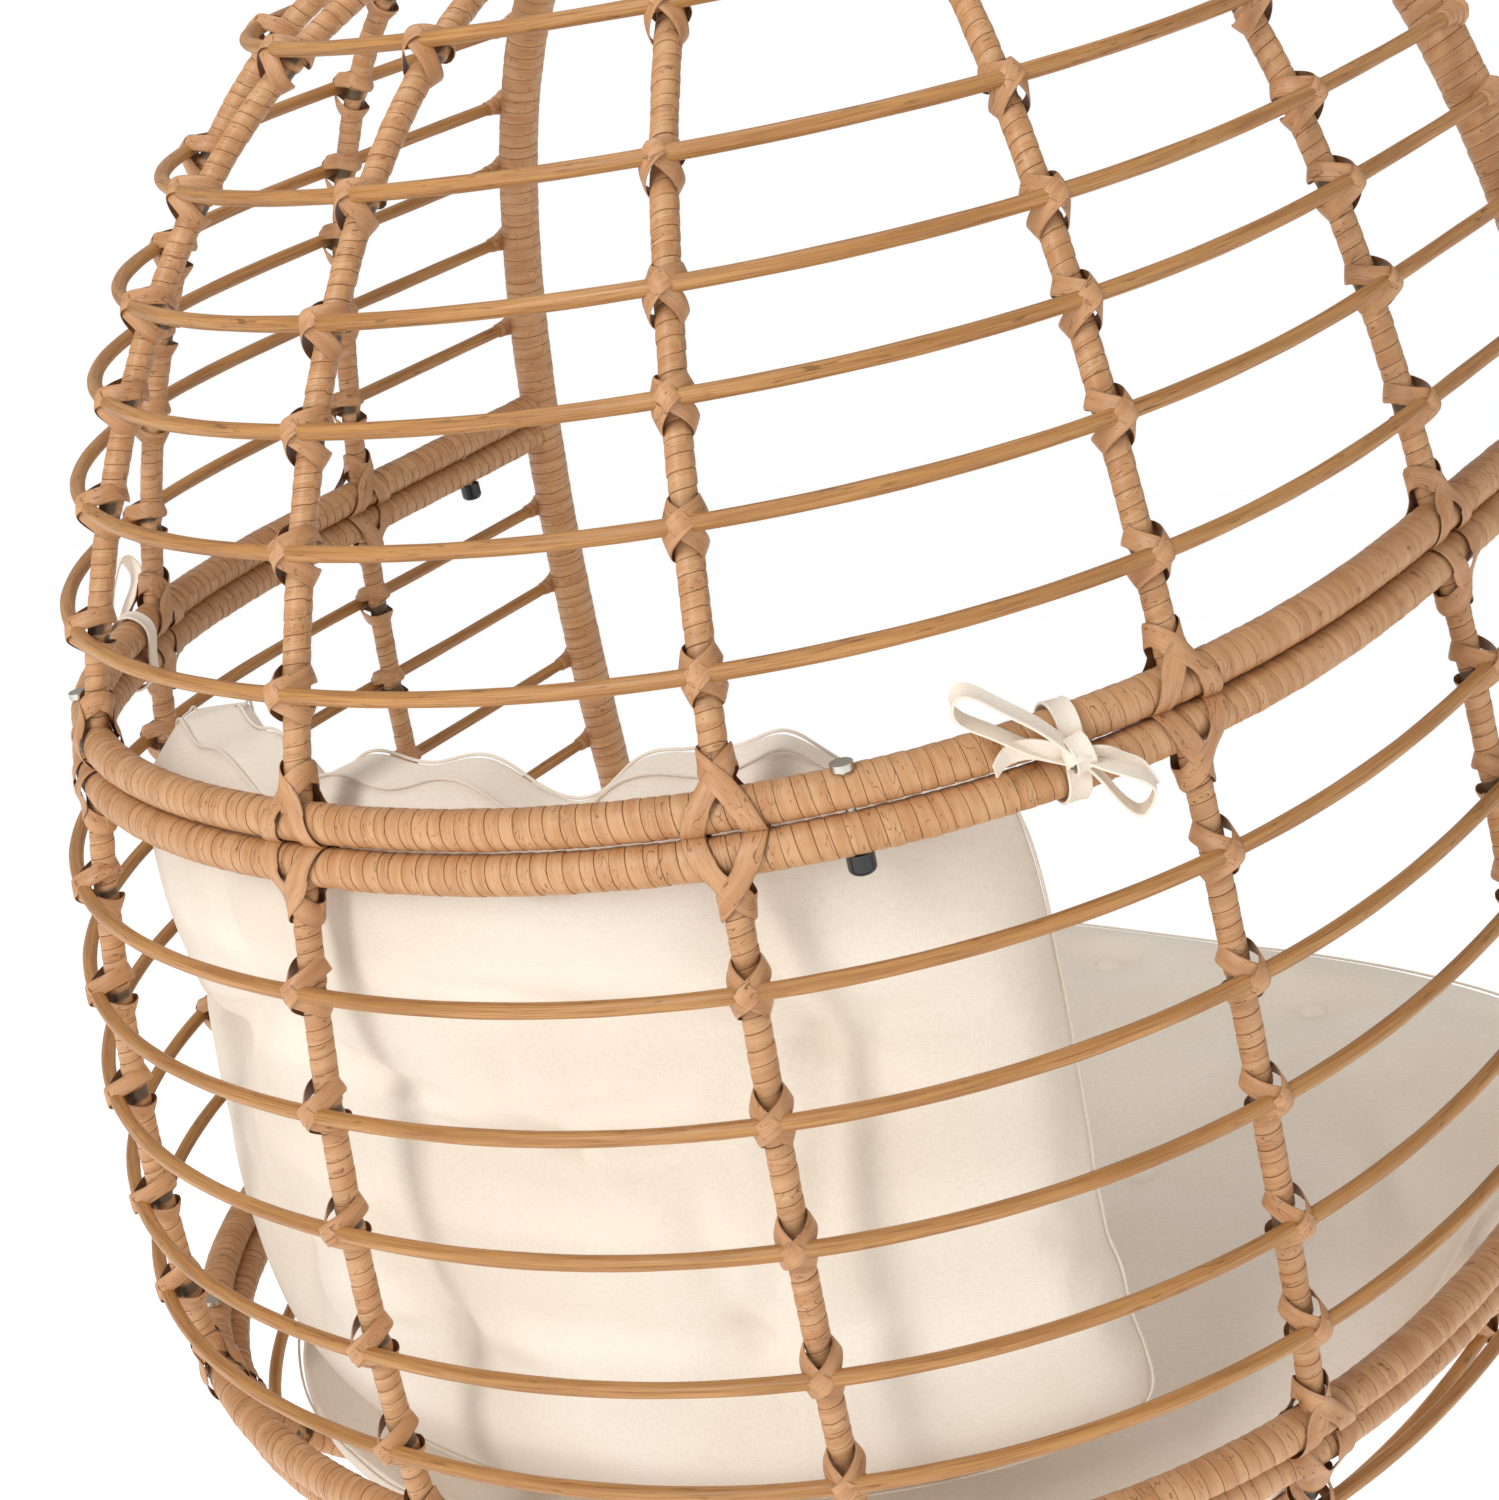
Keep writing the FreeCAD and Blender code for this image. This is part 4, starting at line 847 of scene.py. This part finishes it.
def knot(build, degrees, height):
    axes = local_axes(degrees, height)
    origin = to_row(form_point(degrees, height))
    line = spline(np.array(KNOT) * MM, 64, closed=True)
    sway = math.radians(dice.uniform(-5, 5))
    cos, sin = math.cos(sway), math.sin(sway)
    turned = np.array([[cos, -sin, 0], [sin, cos, 0], [0, 0, 1]])
    stretch = np.array([1, dice.uniform(0.92, 1.08), 1])
    line = (line * stretch) @ turned.T
    hub = np.stack([np.zeros(64), line[:, 1] * 0.55, np.full(64, 0.006)], axis=1)
    normals = unit(line - hub)
    width = TIE_WIDTH * (1 - 0.16 * np.abs(normals[:, 0]))
    strip(build, line @ axes.T + origin, normals @ axes.T, width, TIE_THICKNESS, closed=True,
          seed=dice.uniform(0, 60))


def knot_set(name, levels, angles):
    build = Build()
    for height in levels:
        for degrees in angles:
            knot(build, degrees, height)
    build.finish(name.replace("ties", "knots"), TIE, "tie_strip", [name], sharp=50)


knot_set("dome_ties", DOME_RODS, RIB_ANGLES.values())
knot_set("middle_ties", MIDDLE_RODS, RIB_ANGLES.values())
knot_set("bowl_ties", BOWL_RODS, RIB_ANGLES.values())
hoop_knots = Build()
for height in HOOP_RODS:
    for degrees in FRONT_RIB_ANGLES:
        knot(hoop_knots, degrees, height)
hoop_knots.finish("hoop_knots", TIE, "tie_strip", sharp=50)

# A strip runs from one side of a rib, down across the seam tube and round behind both.
HALF_JOINT = (
    (9.2, 29, -2), (5.5, 24, 7.6), (-3, 14.5, 10.6), (-10.5, 4, 13.2), (-14.5, -4.5, 12.3),
    (-17, -11.5, 6), (-17, -12.6, -3), (-14, -6, -12), (-6, 8, -11.8), (3, 20, -9.6), (8, 27, -7),
)


def joint_wrap(build, degrees, height, upward_side):
    axes = local_axes(degrees, height)
    origin = to_row(form_point(degrees, height))
    for side in (1, -1):
        grow = 1 + 0.03 * side
        placed = np.array(HALF_JOINT) * MM * np.array([side, upward_side, grow])
        line = spline(placed, 56, closed=True)
        if side * upward_side < 0:
            line = line[::-1]
        tube_part = line * np.array([0, 1, 1])
        rib_part = line * np.array([1, 0, 1])
        tube_far = np.linalg.norm(tube_part, axis=1)[:, None]
        rib_far = np.linalg.norm(rib_part, axis=1)[:, None]
        on_rib = line[:, 1:2] * upward_side > 0.004
        normals = unit(tube_part / tube_far ** 4 + rib_part / rib_far ** 4 * on_rib)
        strip(build, line @ axes.T + origin, normals @ axes.T, TIE_WIDTH, TIE_THICKNESS, closed=True,
              seed=dice.uniform(0, 60))


JOINT_SIDES = {"dome_seam_tube": 1, "middle_top_tube": -1, "middle_bottom_tube": 1, "bowl_seam_tube": -1}
joint_wraps = Build()
for degrees in RIB_ANGLES.values():
    for name, upward_side in JOINT_SIDES.items():
        joint_wrap(joint_wraps, degrees, seam_levels[name], upward_side)
joint_wraps.finish("rib_joint_wraps", TIE, "tie_strip", sharp=50)

# ------------------------------------------------------------------ cushions
CUSHION_CENTRE = 0.140     # centre of the back cushion's bend
CUSHION_OUTER = 0.486      # at the foot
CUSHION_TAPER = 0.026      # how much less it is at the top
CUSHION_DEPTH = 0.105
CUSHION_HALF_ANGLE = math.radians(58)
CUSHION_FOOT = -0.470
CUSHION_TOP = -0.014
GRID = 0.010
PUFF_LIMIT = 0.026


def grid_solid(counts, place):
    """Closed quad shell over the unit cube's surface, placed by a function of u, v and w."""
    index = {}
    points = []
    uvw = []

    def vertex(i, j, k):
        key = (i, j, k)
        if key not in index:
            index[key] = len(points)
            share = np.array([i / counts[0], j / counts[1], k / counts[2]])
            uvw.append(share)
            points.append(place(*share))
        return index[key]

    faces = []
    a, b, c = counts
    for k, flip in ((0, True), (c, False)):
        for i in range(a):
            for j in range(b):
                face = [vertex(i, j, k), vertex(i + 1, j, k), vertex(i + 1, j + 1, k), vertex(i, j + 1, k)]
                faces.append(face[::-1] if flip else face)
    for j, flip in ((0, False), (b, True)):
        for i in range(a):
            for k in range(c):
                face = [vertex(i, j, k), vertex(i + 1, j, k), vertex(i + 1, j, k + 1), vertex(i, j, k + 1)]
                faces.append(face[::-1] if flip else face)
    for i, flip in ((0, True), (a, False)):
        for j in range(b):
            for k in range(c):
                face = [vertex(i, j, k), vertex(i, j + 1, k), vertex(i, j + 1, k + 1), vertex(i, j, k + 1)]
                faces.append(face[::-1] if flip else face)
    return np.array(points), faces, np.array(uvw), index


def inflate(name, points, faces, pinned):
    """Cloth filled by pressure, held along its stitched lines; the swell is capped."""
    piece = new_piece(name, points.tolist(), faces)
    mesh = piece.data
    shell = bmesh.new()
    shell.from_mesh(mesh)
    bmesh.ops.recalc_face_normals(shell, faces=shell.faces)
    shell.to_mesh(mesh)
    shell.free()
    group = piece.vertex_groups.new(name="stitches")
    group.add([int(v) for v in np.nonzero(pinned)[0]], 1.0, "REPLACE")
    cloth = piece.modifiers.new("fill", "CLOTH")
    cloth.settings.vertex_group_mass = "stitches"
    cloth.settings.quality = 6
    cloth.settings.mass = 0.25
    cloth.settings.tension_stiffness = 14
    cloth.settings.compression_stiffness = 9
    cloth.settings.shear_stiffness = 6
    cloth.settings.bending_stiffness = 0.35
    cloth.settings.use_pressure = True
    cloth.settings.uniform_pressure_force = 4.5
    cloth.settings.effector_weights.gravity = 0
    cloth.collision_settings.use_collision = False
    cloth.point_cache.frame_start = 1
    cloth.point_cache.frame_end = 20
    scene = bpy.context.scene
    for number in range(1, 21):
        scene.frame_set(number)
        view = piece.evaluated_get(bpy.context.evaluated_depsgraph_get())
    moved = np.empty(len(points) * 3)
    view.data.vertices.foreach_get("co", moved)
    moved = moved.reshape(-1, 3)
    piece.modifiers.clear()
    scene.frame_set(1)
    shift = moved - points
    size = np.linalg.norm(shift, axis=1)[:, None]
    cap = PUFF_LIMIT * np.tanh(size / PUFF_LIMIT)
    points = points + shift * cap / np.maximum(size, 1e-9)
    mesh.vertices.foreach_set("co", points.ravel())
    mesh.update()
    return piece, points


def keep_inside_ribs(points, clearance):
    """Points pushed back softly where they would press through the ribs."""
    level = (points - BASE) @ HANG
    flat = np.hypot(level[:, 0], level[:, 1])
    turn = np.degrees(np.arctan2(level[:, 0], level[:, 1]))
    for k in np.nonzero((flat > 0.25) & (np.abs(turn) < 110))[0]:
        height = min(max(level[k, 2], -0.66), 0.25)
        limit = reach(turn[k], height) - clearance
        over = flat[k] - limit
        if over > -0.010:
            pulled = limit - 0.010 * math.exp(-(over + 0.010) / 0.010)
            level[k, :2] *= pulled / flat[k]
    return to_row(level)


def subdivide(piece):
    smooth = piece.modifiers.new("smooth", "SUBSURF")
    smooth.levels = 1
    smooth.render_levels = 1
    view = piece.evaluated_get(bpy.context.evaluated_depsgraph_get())
    mesh = bpy.data.meshes.new_from_object(view)
    piece.modifiers.clear()
    piece.data = mesh
    mesh.shade_smooth()


def seam_attribute(piece, shares):
    seam = piece.data.attributes.new("seam", "FLOAT", "POINT")
    seam.data.foreach_set("value", np.asarray(shares, np.float32))


BACK_TUFTS = (              # across as a share of the half width, up as a share of the height
    (-0.62, 0.62), (-0.22, 0.50), (0.24, 0.62), (0.66, 0.48), (-0.44, 0.24), (0.04, 0.20), (0.50, 0.20),
)


def tuft_pull(across, lift):
    """0 away from the tufts, 1 at one, with a soft crease running sideways and upwards from it."""
    pull = 0
    for k, (x, y) in enumerate(BACK_TUFTS):
        right, up = (across - x) * 0.45, (lift - y) * 0.45
        near = math.exp(-(math.hypot(right, up) / 0.030) ** 2)
        slope = 0.35 - 0.25 * (k % 3)
        off_line = up - slope * abs(right)
        crease = 0.55 * math.exp(-(off_line / 0.013) ** 2 - (right / 0.10) ** 2)
        rise = 0.40 * math.exp(-((right - 0.15 * up) / 0.012) ** 2 - ((up - 0.05) / 0.07) ** 2)
        pull = max(pull, near, crease, rise)
    return pull


def top_edge(across):
    """Height of the cushion's wavy top over the middle seam."""
    waves = 0.010 * math.cos(across * 11 + 0.8) + 0.006 * math.sin(across * 23)
    swell = 0.045 * (1 - abs(across) ** 3) + waves
    return CUSHION_TOP + swell * min(1, 3.5 * (1 - abs(across)))


def back_place(u, v, w):
    across = 2 * u - 1
    lift = 2 * v - 1
    round_edge = (1 - abs(across) ** 14) * (1 - abs(lift) ** 8)
    half = (CUSHION_DEPTH / 2 - 0.020) * (0.60 + 0.40 * round_edge) - 0.024 * tuft_pull(across, v)
    radius = CUSHION_OUTER - CUSHION_TAPER * v - CUSHION_DEPTH / 2 - 0.004 + (2 * w - 1) * half
    angle = across * (CUSHION_HALF_ANGLE - 0.020) * (1 - 0.03 * abs(lift) ** 6)
    height = CUSHION_FOOT + 0.014 + v * (top_edge(across) - CUSHION_FOOT - 0.014)
    height -= 0.012 * abs(across) ** 10 * lift
    return to_row([radius * math.sin(angle), CUSHION_CENTRE + radius * math.cos(angle), height])


width_steps = int(CUSHION_OUTER * 2 * CUSHION_HALF_ANGLE / GRID)
height_steps = int((CUSHION_TOP - CUSHION_FOOT) / GRID)
depth_steps = int(CUSHION_DEPTH * 0.62 / GRID)
points, faces, uvw, index = grid_solid((width_steps, height_steps, depth_steps), back_place)
on_face = (uvw[:, 2] == 0) | (uvw[:, 2] == 1)
tuft_near = np.array([tuft_pull(2 * share[0] - 1, share[1]) for share in uvw])
stitched = on_face & (tuft_near > 0.80)
back_cushion, points = inflate("back_cushion_soft", points, faces, stitched)
points = keep_inside_ribs(points, RIB_RADIUS + 0.003)
back_cushion.data.vertices.foreach_set("co", points.ravel())
edge_lines = []
for k in (0, depth_steps):
    loop = [index[(i, height_steps, k)] for i in range(width_steps + 1)]
    loop += [index[(width_steps, j, k)] for j in range(height_steps - 1, -1, -1)]
    loop += [index[(i, 0, k)] for i in range(width_steps - 1, -1, -1)]
    loop += [index[(0, j, k)] for j in range(1, height_steps)]
    edge_lines.append(points[loop])
# Share of painted shade for the cloth: strongest on the side walls next to both faces' edges, and at the stitched
# tufts.
near_edge = np.exp(-((np.abs(2 * uvw[:, 2] - 1) - 1) / 0.12) ** 2) * (~on_face) + 0.4 * stitched


def finish_cushion(piece, node, seam):
    seam_attribute(piece, seam)
    subdivide(piece)
    piece.data.materials.append(CLOTH)
    settle(piece, [node])


PIPING_RADIUS = 0.0010


def piping(name, lines):
    """Covered cord sewn round the edges."""
    cord = Build()
    for line in lines:
        smooth = spline(line[::2], 3 * len(line), closed=True)
        normals = unit(smooth - smooth.mean(axis=0))
        section = [(math.cos(t) * 0.5, math.sin(t) + 0.6) for t in np.linspace(0, 2 * math.pi, 11)[:-1]]
        strip(cord, smooth, normals, 2 * PIPING_RADIUS, PIPING_RADIUS, closed=True, section=section)
    piece = cord.finish(name, CLOTH, "cushion_cloth", sharp=80)
    # The cord is darkened evenly and slightly through the same share.
    seam_attribute(piece, np.full(len(piece.data.vertices), 0.15))


finish_cushion(back_cushion, "back_cushion", np.clip(near_edge, 0, 1))
piping("back_cushion_piping", edge_lines)

SEAT_LEVELS = ((-0.474, 0.036), (-0.500, 0.030), (-0.540, 0.028), (-0.590, 0.030), (-0.632, 0.044))
TUFTS = (
    (0.0, 0.08), (-0.19, 0.12), (0.19, 0.12), (-0.10, 0.32), (0.10, 0.32),
    (-0.20, -0.13), (0.20, -0.13), (0, -0.16),
)
TOP_RINGS = 30
FOOT_RINGS = 26


def seat_rings():
    """Rings of the seat cushion from the middle of its top to the middle of its underside."""
    top_height, top_inset = SEAT_LEVELS[0]
    foot_height, foot_inset = SEAT_LEVELS[-1]
    rings = [(share, top_height, top_inset) for share in np.linspace(0.04, 1, TOP_RINGS)]
    heights = np.linspace(top_height, foot_height, 15)[1:-1]
    for height in heights:
        inset = np.interp(-height, [-level for level, _ in SEAT_LEVELS], [inset for _, inset in SEAT_LEVELS])
        rings.append((1, height, inset))
    return rings + [(share, foot_height, foot_inset) for share in np.linspace(1, 0.04, FOOT_RINGS)]


def seat_point(degrees, share, height, inset):
    outer = form_point(degrees, height, -inset)
    middle = np.array([0, 0.12, height])
    here = middle + (outer - middle) * np.array([share, share, 0])
    here[2] = height
    if height > -0.48 or height < -0.63:
        crown = 0.010 if height > -0.48 else -0.004
        here[2] += crown * (1 - share ** 4)
        for x, y in TUFTS:
            away = math.hypot(here[0] - x, here[1] - y)
            here[2] -= math.copysign(0.018, crown) * math.exp(-(away / 0.030) ** 2)
    return to_row(here)


seat_turns = 132
rings = seat_rings()
points = [seat_point(-180 + 360 * j / seat_turns, *ring) for ring in rings for j in range(seat_turns)]
points += [seat_point(0, 0, *rings[0][1:]), seat_point(0, 0, *rings[-1][1:])]
last = (len(rings) - 1) * seat_turns
faces = band_faces(len(rings), seat_turns) + cap_faces(0, last, seat_turns, len(points) - 2)
points = np.array(points)
level = (points - BASE) @ HANG
tuft_x, tuft_y = np.array(TUFTS).T
tuft_away = np.min(np.hypot(level[:, :1] - tuft_x, level[:, 1:2] - tuft_y), axis=1)
held = (tuft_away < 0.012) & ((level[:, 2] > -0.50) | (level[:, 2] < -0.60))
seat_cushion, points = inflate("seat_cushion_soft", points, faces, held)
points = keep_inside_ribs(points, RIB_RADIUS + 0.003)
seat_cushion.data.vertices.foreach_set("co", points.ravel())
seat_edges = []
for edge in (TOP_RINGS - 1, len(rings) - FOOT_RINGS):
    seat_edges.append(points[edge * seat_turns:(edge + 1) * seat_turns])
# The seat's cloth gets painted shade in its tufts.
finish_cushion(seat_cushion, "seat_cushion", 0.8 * np.exp(-(tuft_away / 0.010) ** 2) * held)
piping("seat_cushion_piping", seat_edges)

# Covered buttons sit in the tufts.
BUTTON_RADIUS = 0.0115
BUTTON_CROWN = 0.0055
BUTTON_RINGS = 8
BUTTON_SIDES = 24
buttons = Build()
for x, y in TUFTS:
    spot = to_row(np.array([x, y, -0.40]))
    ahead = HANG @ np.array([0, 0, -1.0])
    hit, place, normal, _ = seat_cushion.ray_cast(Vector(spot), Vector(ahead))
    if not hit:
        continue
    up = np.array(normal)
    side = unit(np.cross(up, np.array([0, 1.0, 0.2])))
    front = np.cross(up, side)
    middle = np.array(place)
    shape = []
    for climb in np.linspace(-0.5, math.pi / 2 - 0.12, BUTTON_RINGS):
        wide = BUTTON_RADIUS * math.cos(climb)
        high = BUTTON_CROWN * math.sin(climb)
        for turn in np.linspace(0, 2 * math.pi, BUTTON_SIDES + 1)[:-1]:
            lead = side * math.cos(turn) + front * math.sin(turn)
            shape.append(middle + lead * wide + up * high)
    shape += [middle - up * 0.004, middle + up * 0.0056]
    top_ring = (BUTTON_RINGS - 1) * BUTTON_SIDES
    cells = band_faces(BUTTON_RINGS, BUTTON_SIDES)
    cells += cap_faces(0, top_ring, BUTTON_SIDES, BUTTON_RINGS * BUTTON_SIDES)
    buttons.add(shape, cells, np.array(shape))
buttons.finish("seat_cushion_buttons", CLOTH, "cushion_cloth")

# ------------------------------------------------------------------ ribbons and bows
RIBBON_THICKNESS = 0.0012
FLAT_SECTION = (
    (-0.5, 0.0), (-0.5, 1.0), (-0.45, 1.35), (-0.41, 1.0), (0.41, 1.0), (0.45, 1.35), (0.5, 1.0), (0.5, 0.0),
)
BAND = (
    (0, 27, 0), (0, 20, 12.5), (0, 0, 14.5), (0, -20, 12.5),
    (0, -27, 0), (0, -20, -12.5), (0, 0, -14), (0, 20, -12.5),
)
# Each loop and tail: sideways (towards the viewer's left from behind), up and outward, in millimetres.
LONG_LOOP = (
    (3, 2, 19), (22, 21, 26), (46, 40, 31), (62, 49, 28),
    (64, 42, 22), (48, 26, 19), (24, 9, 18), (3, -2, 17),
)
LOW_LOOP = (
    (-3, -2, 19), (-16, -11, 27), (-31, -20, 29), (-38, -30, 23),
    (-31, -40, 17), (-20, -32, 17), (-10, -15, 17), (-2, -4, 17),
)
SHORT_TAIL = ((2, 0, 17), (14, 4, 22), (27, 9, 20), (38, 8, 17), (47, 2, 19))
THIN_TAIL = ((-2, 0, 17), (-12, -1, 21), (-24, -8, 18), (-35, -15, 18), (-41, -27, 20))


def ribbon_piece(build, axes, origin, points, width, lean_vector, closed=False, count=60):
    line = spline(np.array(points, float) * MM, count, closed)
    sides = tangents(line, closed)
    wide = unit(np.array(lean_vector, float))
    normals = np.cross(np.broadcast_to(wide, line.shape), sides)
    flip = np.sign(np.sum(normals[1:] * normals[:-1], axis=1))
    if (flip < 0).any():
        normals[1:] *= np.cumprod(flip)[:, None]
    strip(build, line @ axes.T + origin, normals @ axes.T, width, RIBBON_THICKNESS, closed,
          seed=dice.uniform(0, 60), section=FLAT_SECTION)


def bow(name, degrees):
    build = Build()
    axes = local_axes(degrees, 0.0)
    origin = to_row(form_point(degrees, 0.0))
    line = spline(np.array(BAND) * MM, 64, closed=True)
    strip(build, line @ axes.T + origin, unit(line) @ axes.T, 0.0135, RIBBON_THICKNESS, closed=True,
          section=FLAT_SECTION)
    ribbon_piece(build, axes, origin, LONG_LOOP, 0.0130, (0.35, -0.50, 0.80))
    ribbon_piece(build, axes, origin, LOW_LOOP, 0.0130, (0.45, -0.30, 0.84))
    ribbon_piece(build, axes, origin, SHORT_TAIL, 0.0120, (-0.15, 0.90, 0.40))
    ribbon_piece(build, axes, origin, THIN_TAIL, 0.0075, (0.30, 0.75, 0.60))
    # The knot: two turns of ribbon crossing over one another.
    steps = np.linspace(0, 2 * math.pi, 13)[:-1]
    wrap = [(8.5 * math.cos(t), 2.5 * math.sin(t), 19 + 6.0 * math.sin(t + 0.4)) for t in steps]
    turn = [(2.0 * math.cos(t), 9.0 * math.cos(t), 20 + 6.4 * math.sin(t)) for t in steps]
    for loop, wide in ((wrap, 0.013), (turn, 0.012)):
        line = spline(np.array(loop) * MM, 48, closed=True)
        normals = unit(line - np.array([0, 0, 0.0195]))
        strip(build, line @ axes.T + origin, normals @ axes.T, wide, RIBBON_THICKNESS,
              closed=True, section=FLAT_SECTION)
    piece = build.finish(name + "_bow", RIBBON, "ribbon_cloth", [name], sharp=50)
    seam_attribute(piece, np.zeros(len(piece.data.vertices)))


bow("ribbon_right", 47)
bow("ribbon_left", -43.5)

# ------------------------------------------------------------------ stage, light and camera
def stage_mesh(name, corners, material):
    piece = new_piece(name, corners, [tuple(range(len(corners)))])
    piece.data.materials.append(material)


pale = Nodes("pale_floor")
place = pale.add("TexCoord").outputs["Object"]
cloud = pale.noise(place, (1.5, 1.5, 1.5), 2.0)
FLOOR = pale.finish(
    Base_Color=pale.mix(cloud, srgb("F4F4F4"), srgb("FAFAFA")), Roughness=0.9, Specular_IOR_Level=0.1,
    Emission_Color=srgb("FFFFFF"), Emission_Strength=0.60,
)
FLOOR_LEVEL = -1.95
FLOOR_HALF = 40
floor_sides = ((-1, -1), (1, -1), (1, 1), (-1, 1))
floor_corners = [(x * FLOOR_HALF, y * FLOOR_HALF, FLOOR_LEVEL) for x, y in floor_sides]
stage_mesh("floor", floor_corners, FLOOR)

world = bpy.data.worlds.new("studio")
world.use_nodes = True
bpy.context.scene.world = world
tree = world.node_tree
tree.nodes.clear()


def background(strength):
    node = tree.nodes.new("ShaderNodeBackground")
    node.inputs["Color"].default_value = (1, 1, 1, 1)
    node.inputs["Strength"].default_value = strength
    return node


seen = background(1.0)
lit = background(0.42)
path = tree.nodes.new("ShaderNodeLightPath")
mix = tree.nodes.new("ShaderNodeMixShader")
out = tree.nodes.new("ShaderNodeOutputWorld")
tree.links.new(path.outputs["Is Camera Ray"], mix.inputs[0])
tree.links.new(lit.outputs[0], mix.inputs[1])
tree.links.new(seen.outputs[0], mix.inputs[2])
tree.links.new(mix.outputs[0], out.inputs[0])

AZIMUTH = math.radians(218.51)
ELEVATION = math.radians(6.63)
DISTANCE = 2.037
aim = Vector(BASE) + Vector((0.067, 0.082, -0.195))
towards = Vector((
    math.cos(ELEVATION) * math.sin(AZIMUTH), -math.cos(ELEVATION) * math.cos(AZIMUTH), math.sin(ELEVATION),
))


def area_light(name, spot, wide, high, power, target):
    light = bpy.data.lights.new(name, "AREA")
    light.shape = "RECTANGLE"
    light.size = wide
    light.size_y = high
    light.energy = power
    lamp = bpy.data.objects.new(name, light)
    lamp.location = spot
    lamp.rotation_euler = (target - Vector(spot)).to_track_quat("-Z", "Y").to_euler()
    bpy.context.scene.collection.objects.link(lamp)


# Sideways is the camera's right; the key is a tall, narrow softbox high on its left.
sideways = Vector((-towards.y, towards.x, 0)).normalized()
area_light("key", aim + towards * 2.6 - sideways * 1.7 + Vector((0, 0, 1.0)), 0.7, 2.4, 57, aim)
area_light("top", aim + Vector((0.2, 0.6, 3.0)), 2.2, 2.2, 32, aim)
area_light("fill", aim + towards * 1.6 + sideways * 2.6 + Vector((0, 0, 0.3)), 1.8, 1.8, 11, aim)

camera_data = bpy.data.cameras.new("camera")
camera_data.sensor_width = 36
camera_data.lens = 68.0
camera = bpy.data.objects.new("camera", camera_data)
camera.location = aim + towards * DISTANCE
camera.rotation_euler = (aim - camera.location).to_track_quat("-Z", "Y").to_euler()
bpy.context.scene.collection.objects.link(camera)
bpy.context.scene.camera = camera
bpy.context.scene.view_settings.view_transform = "Standard"
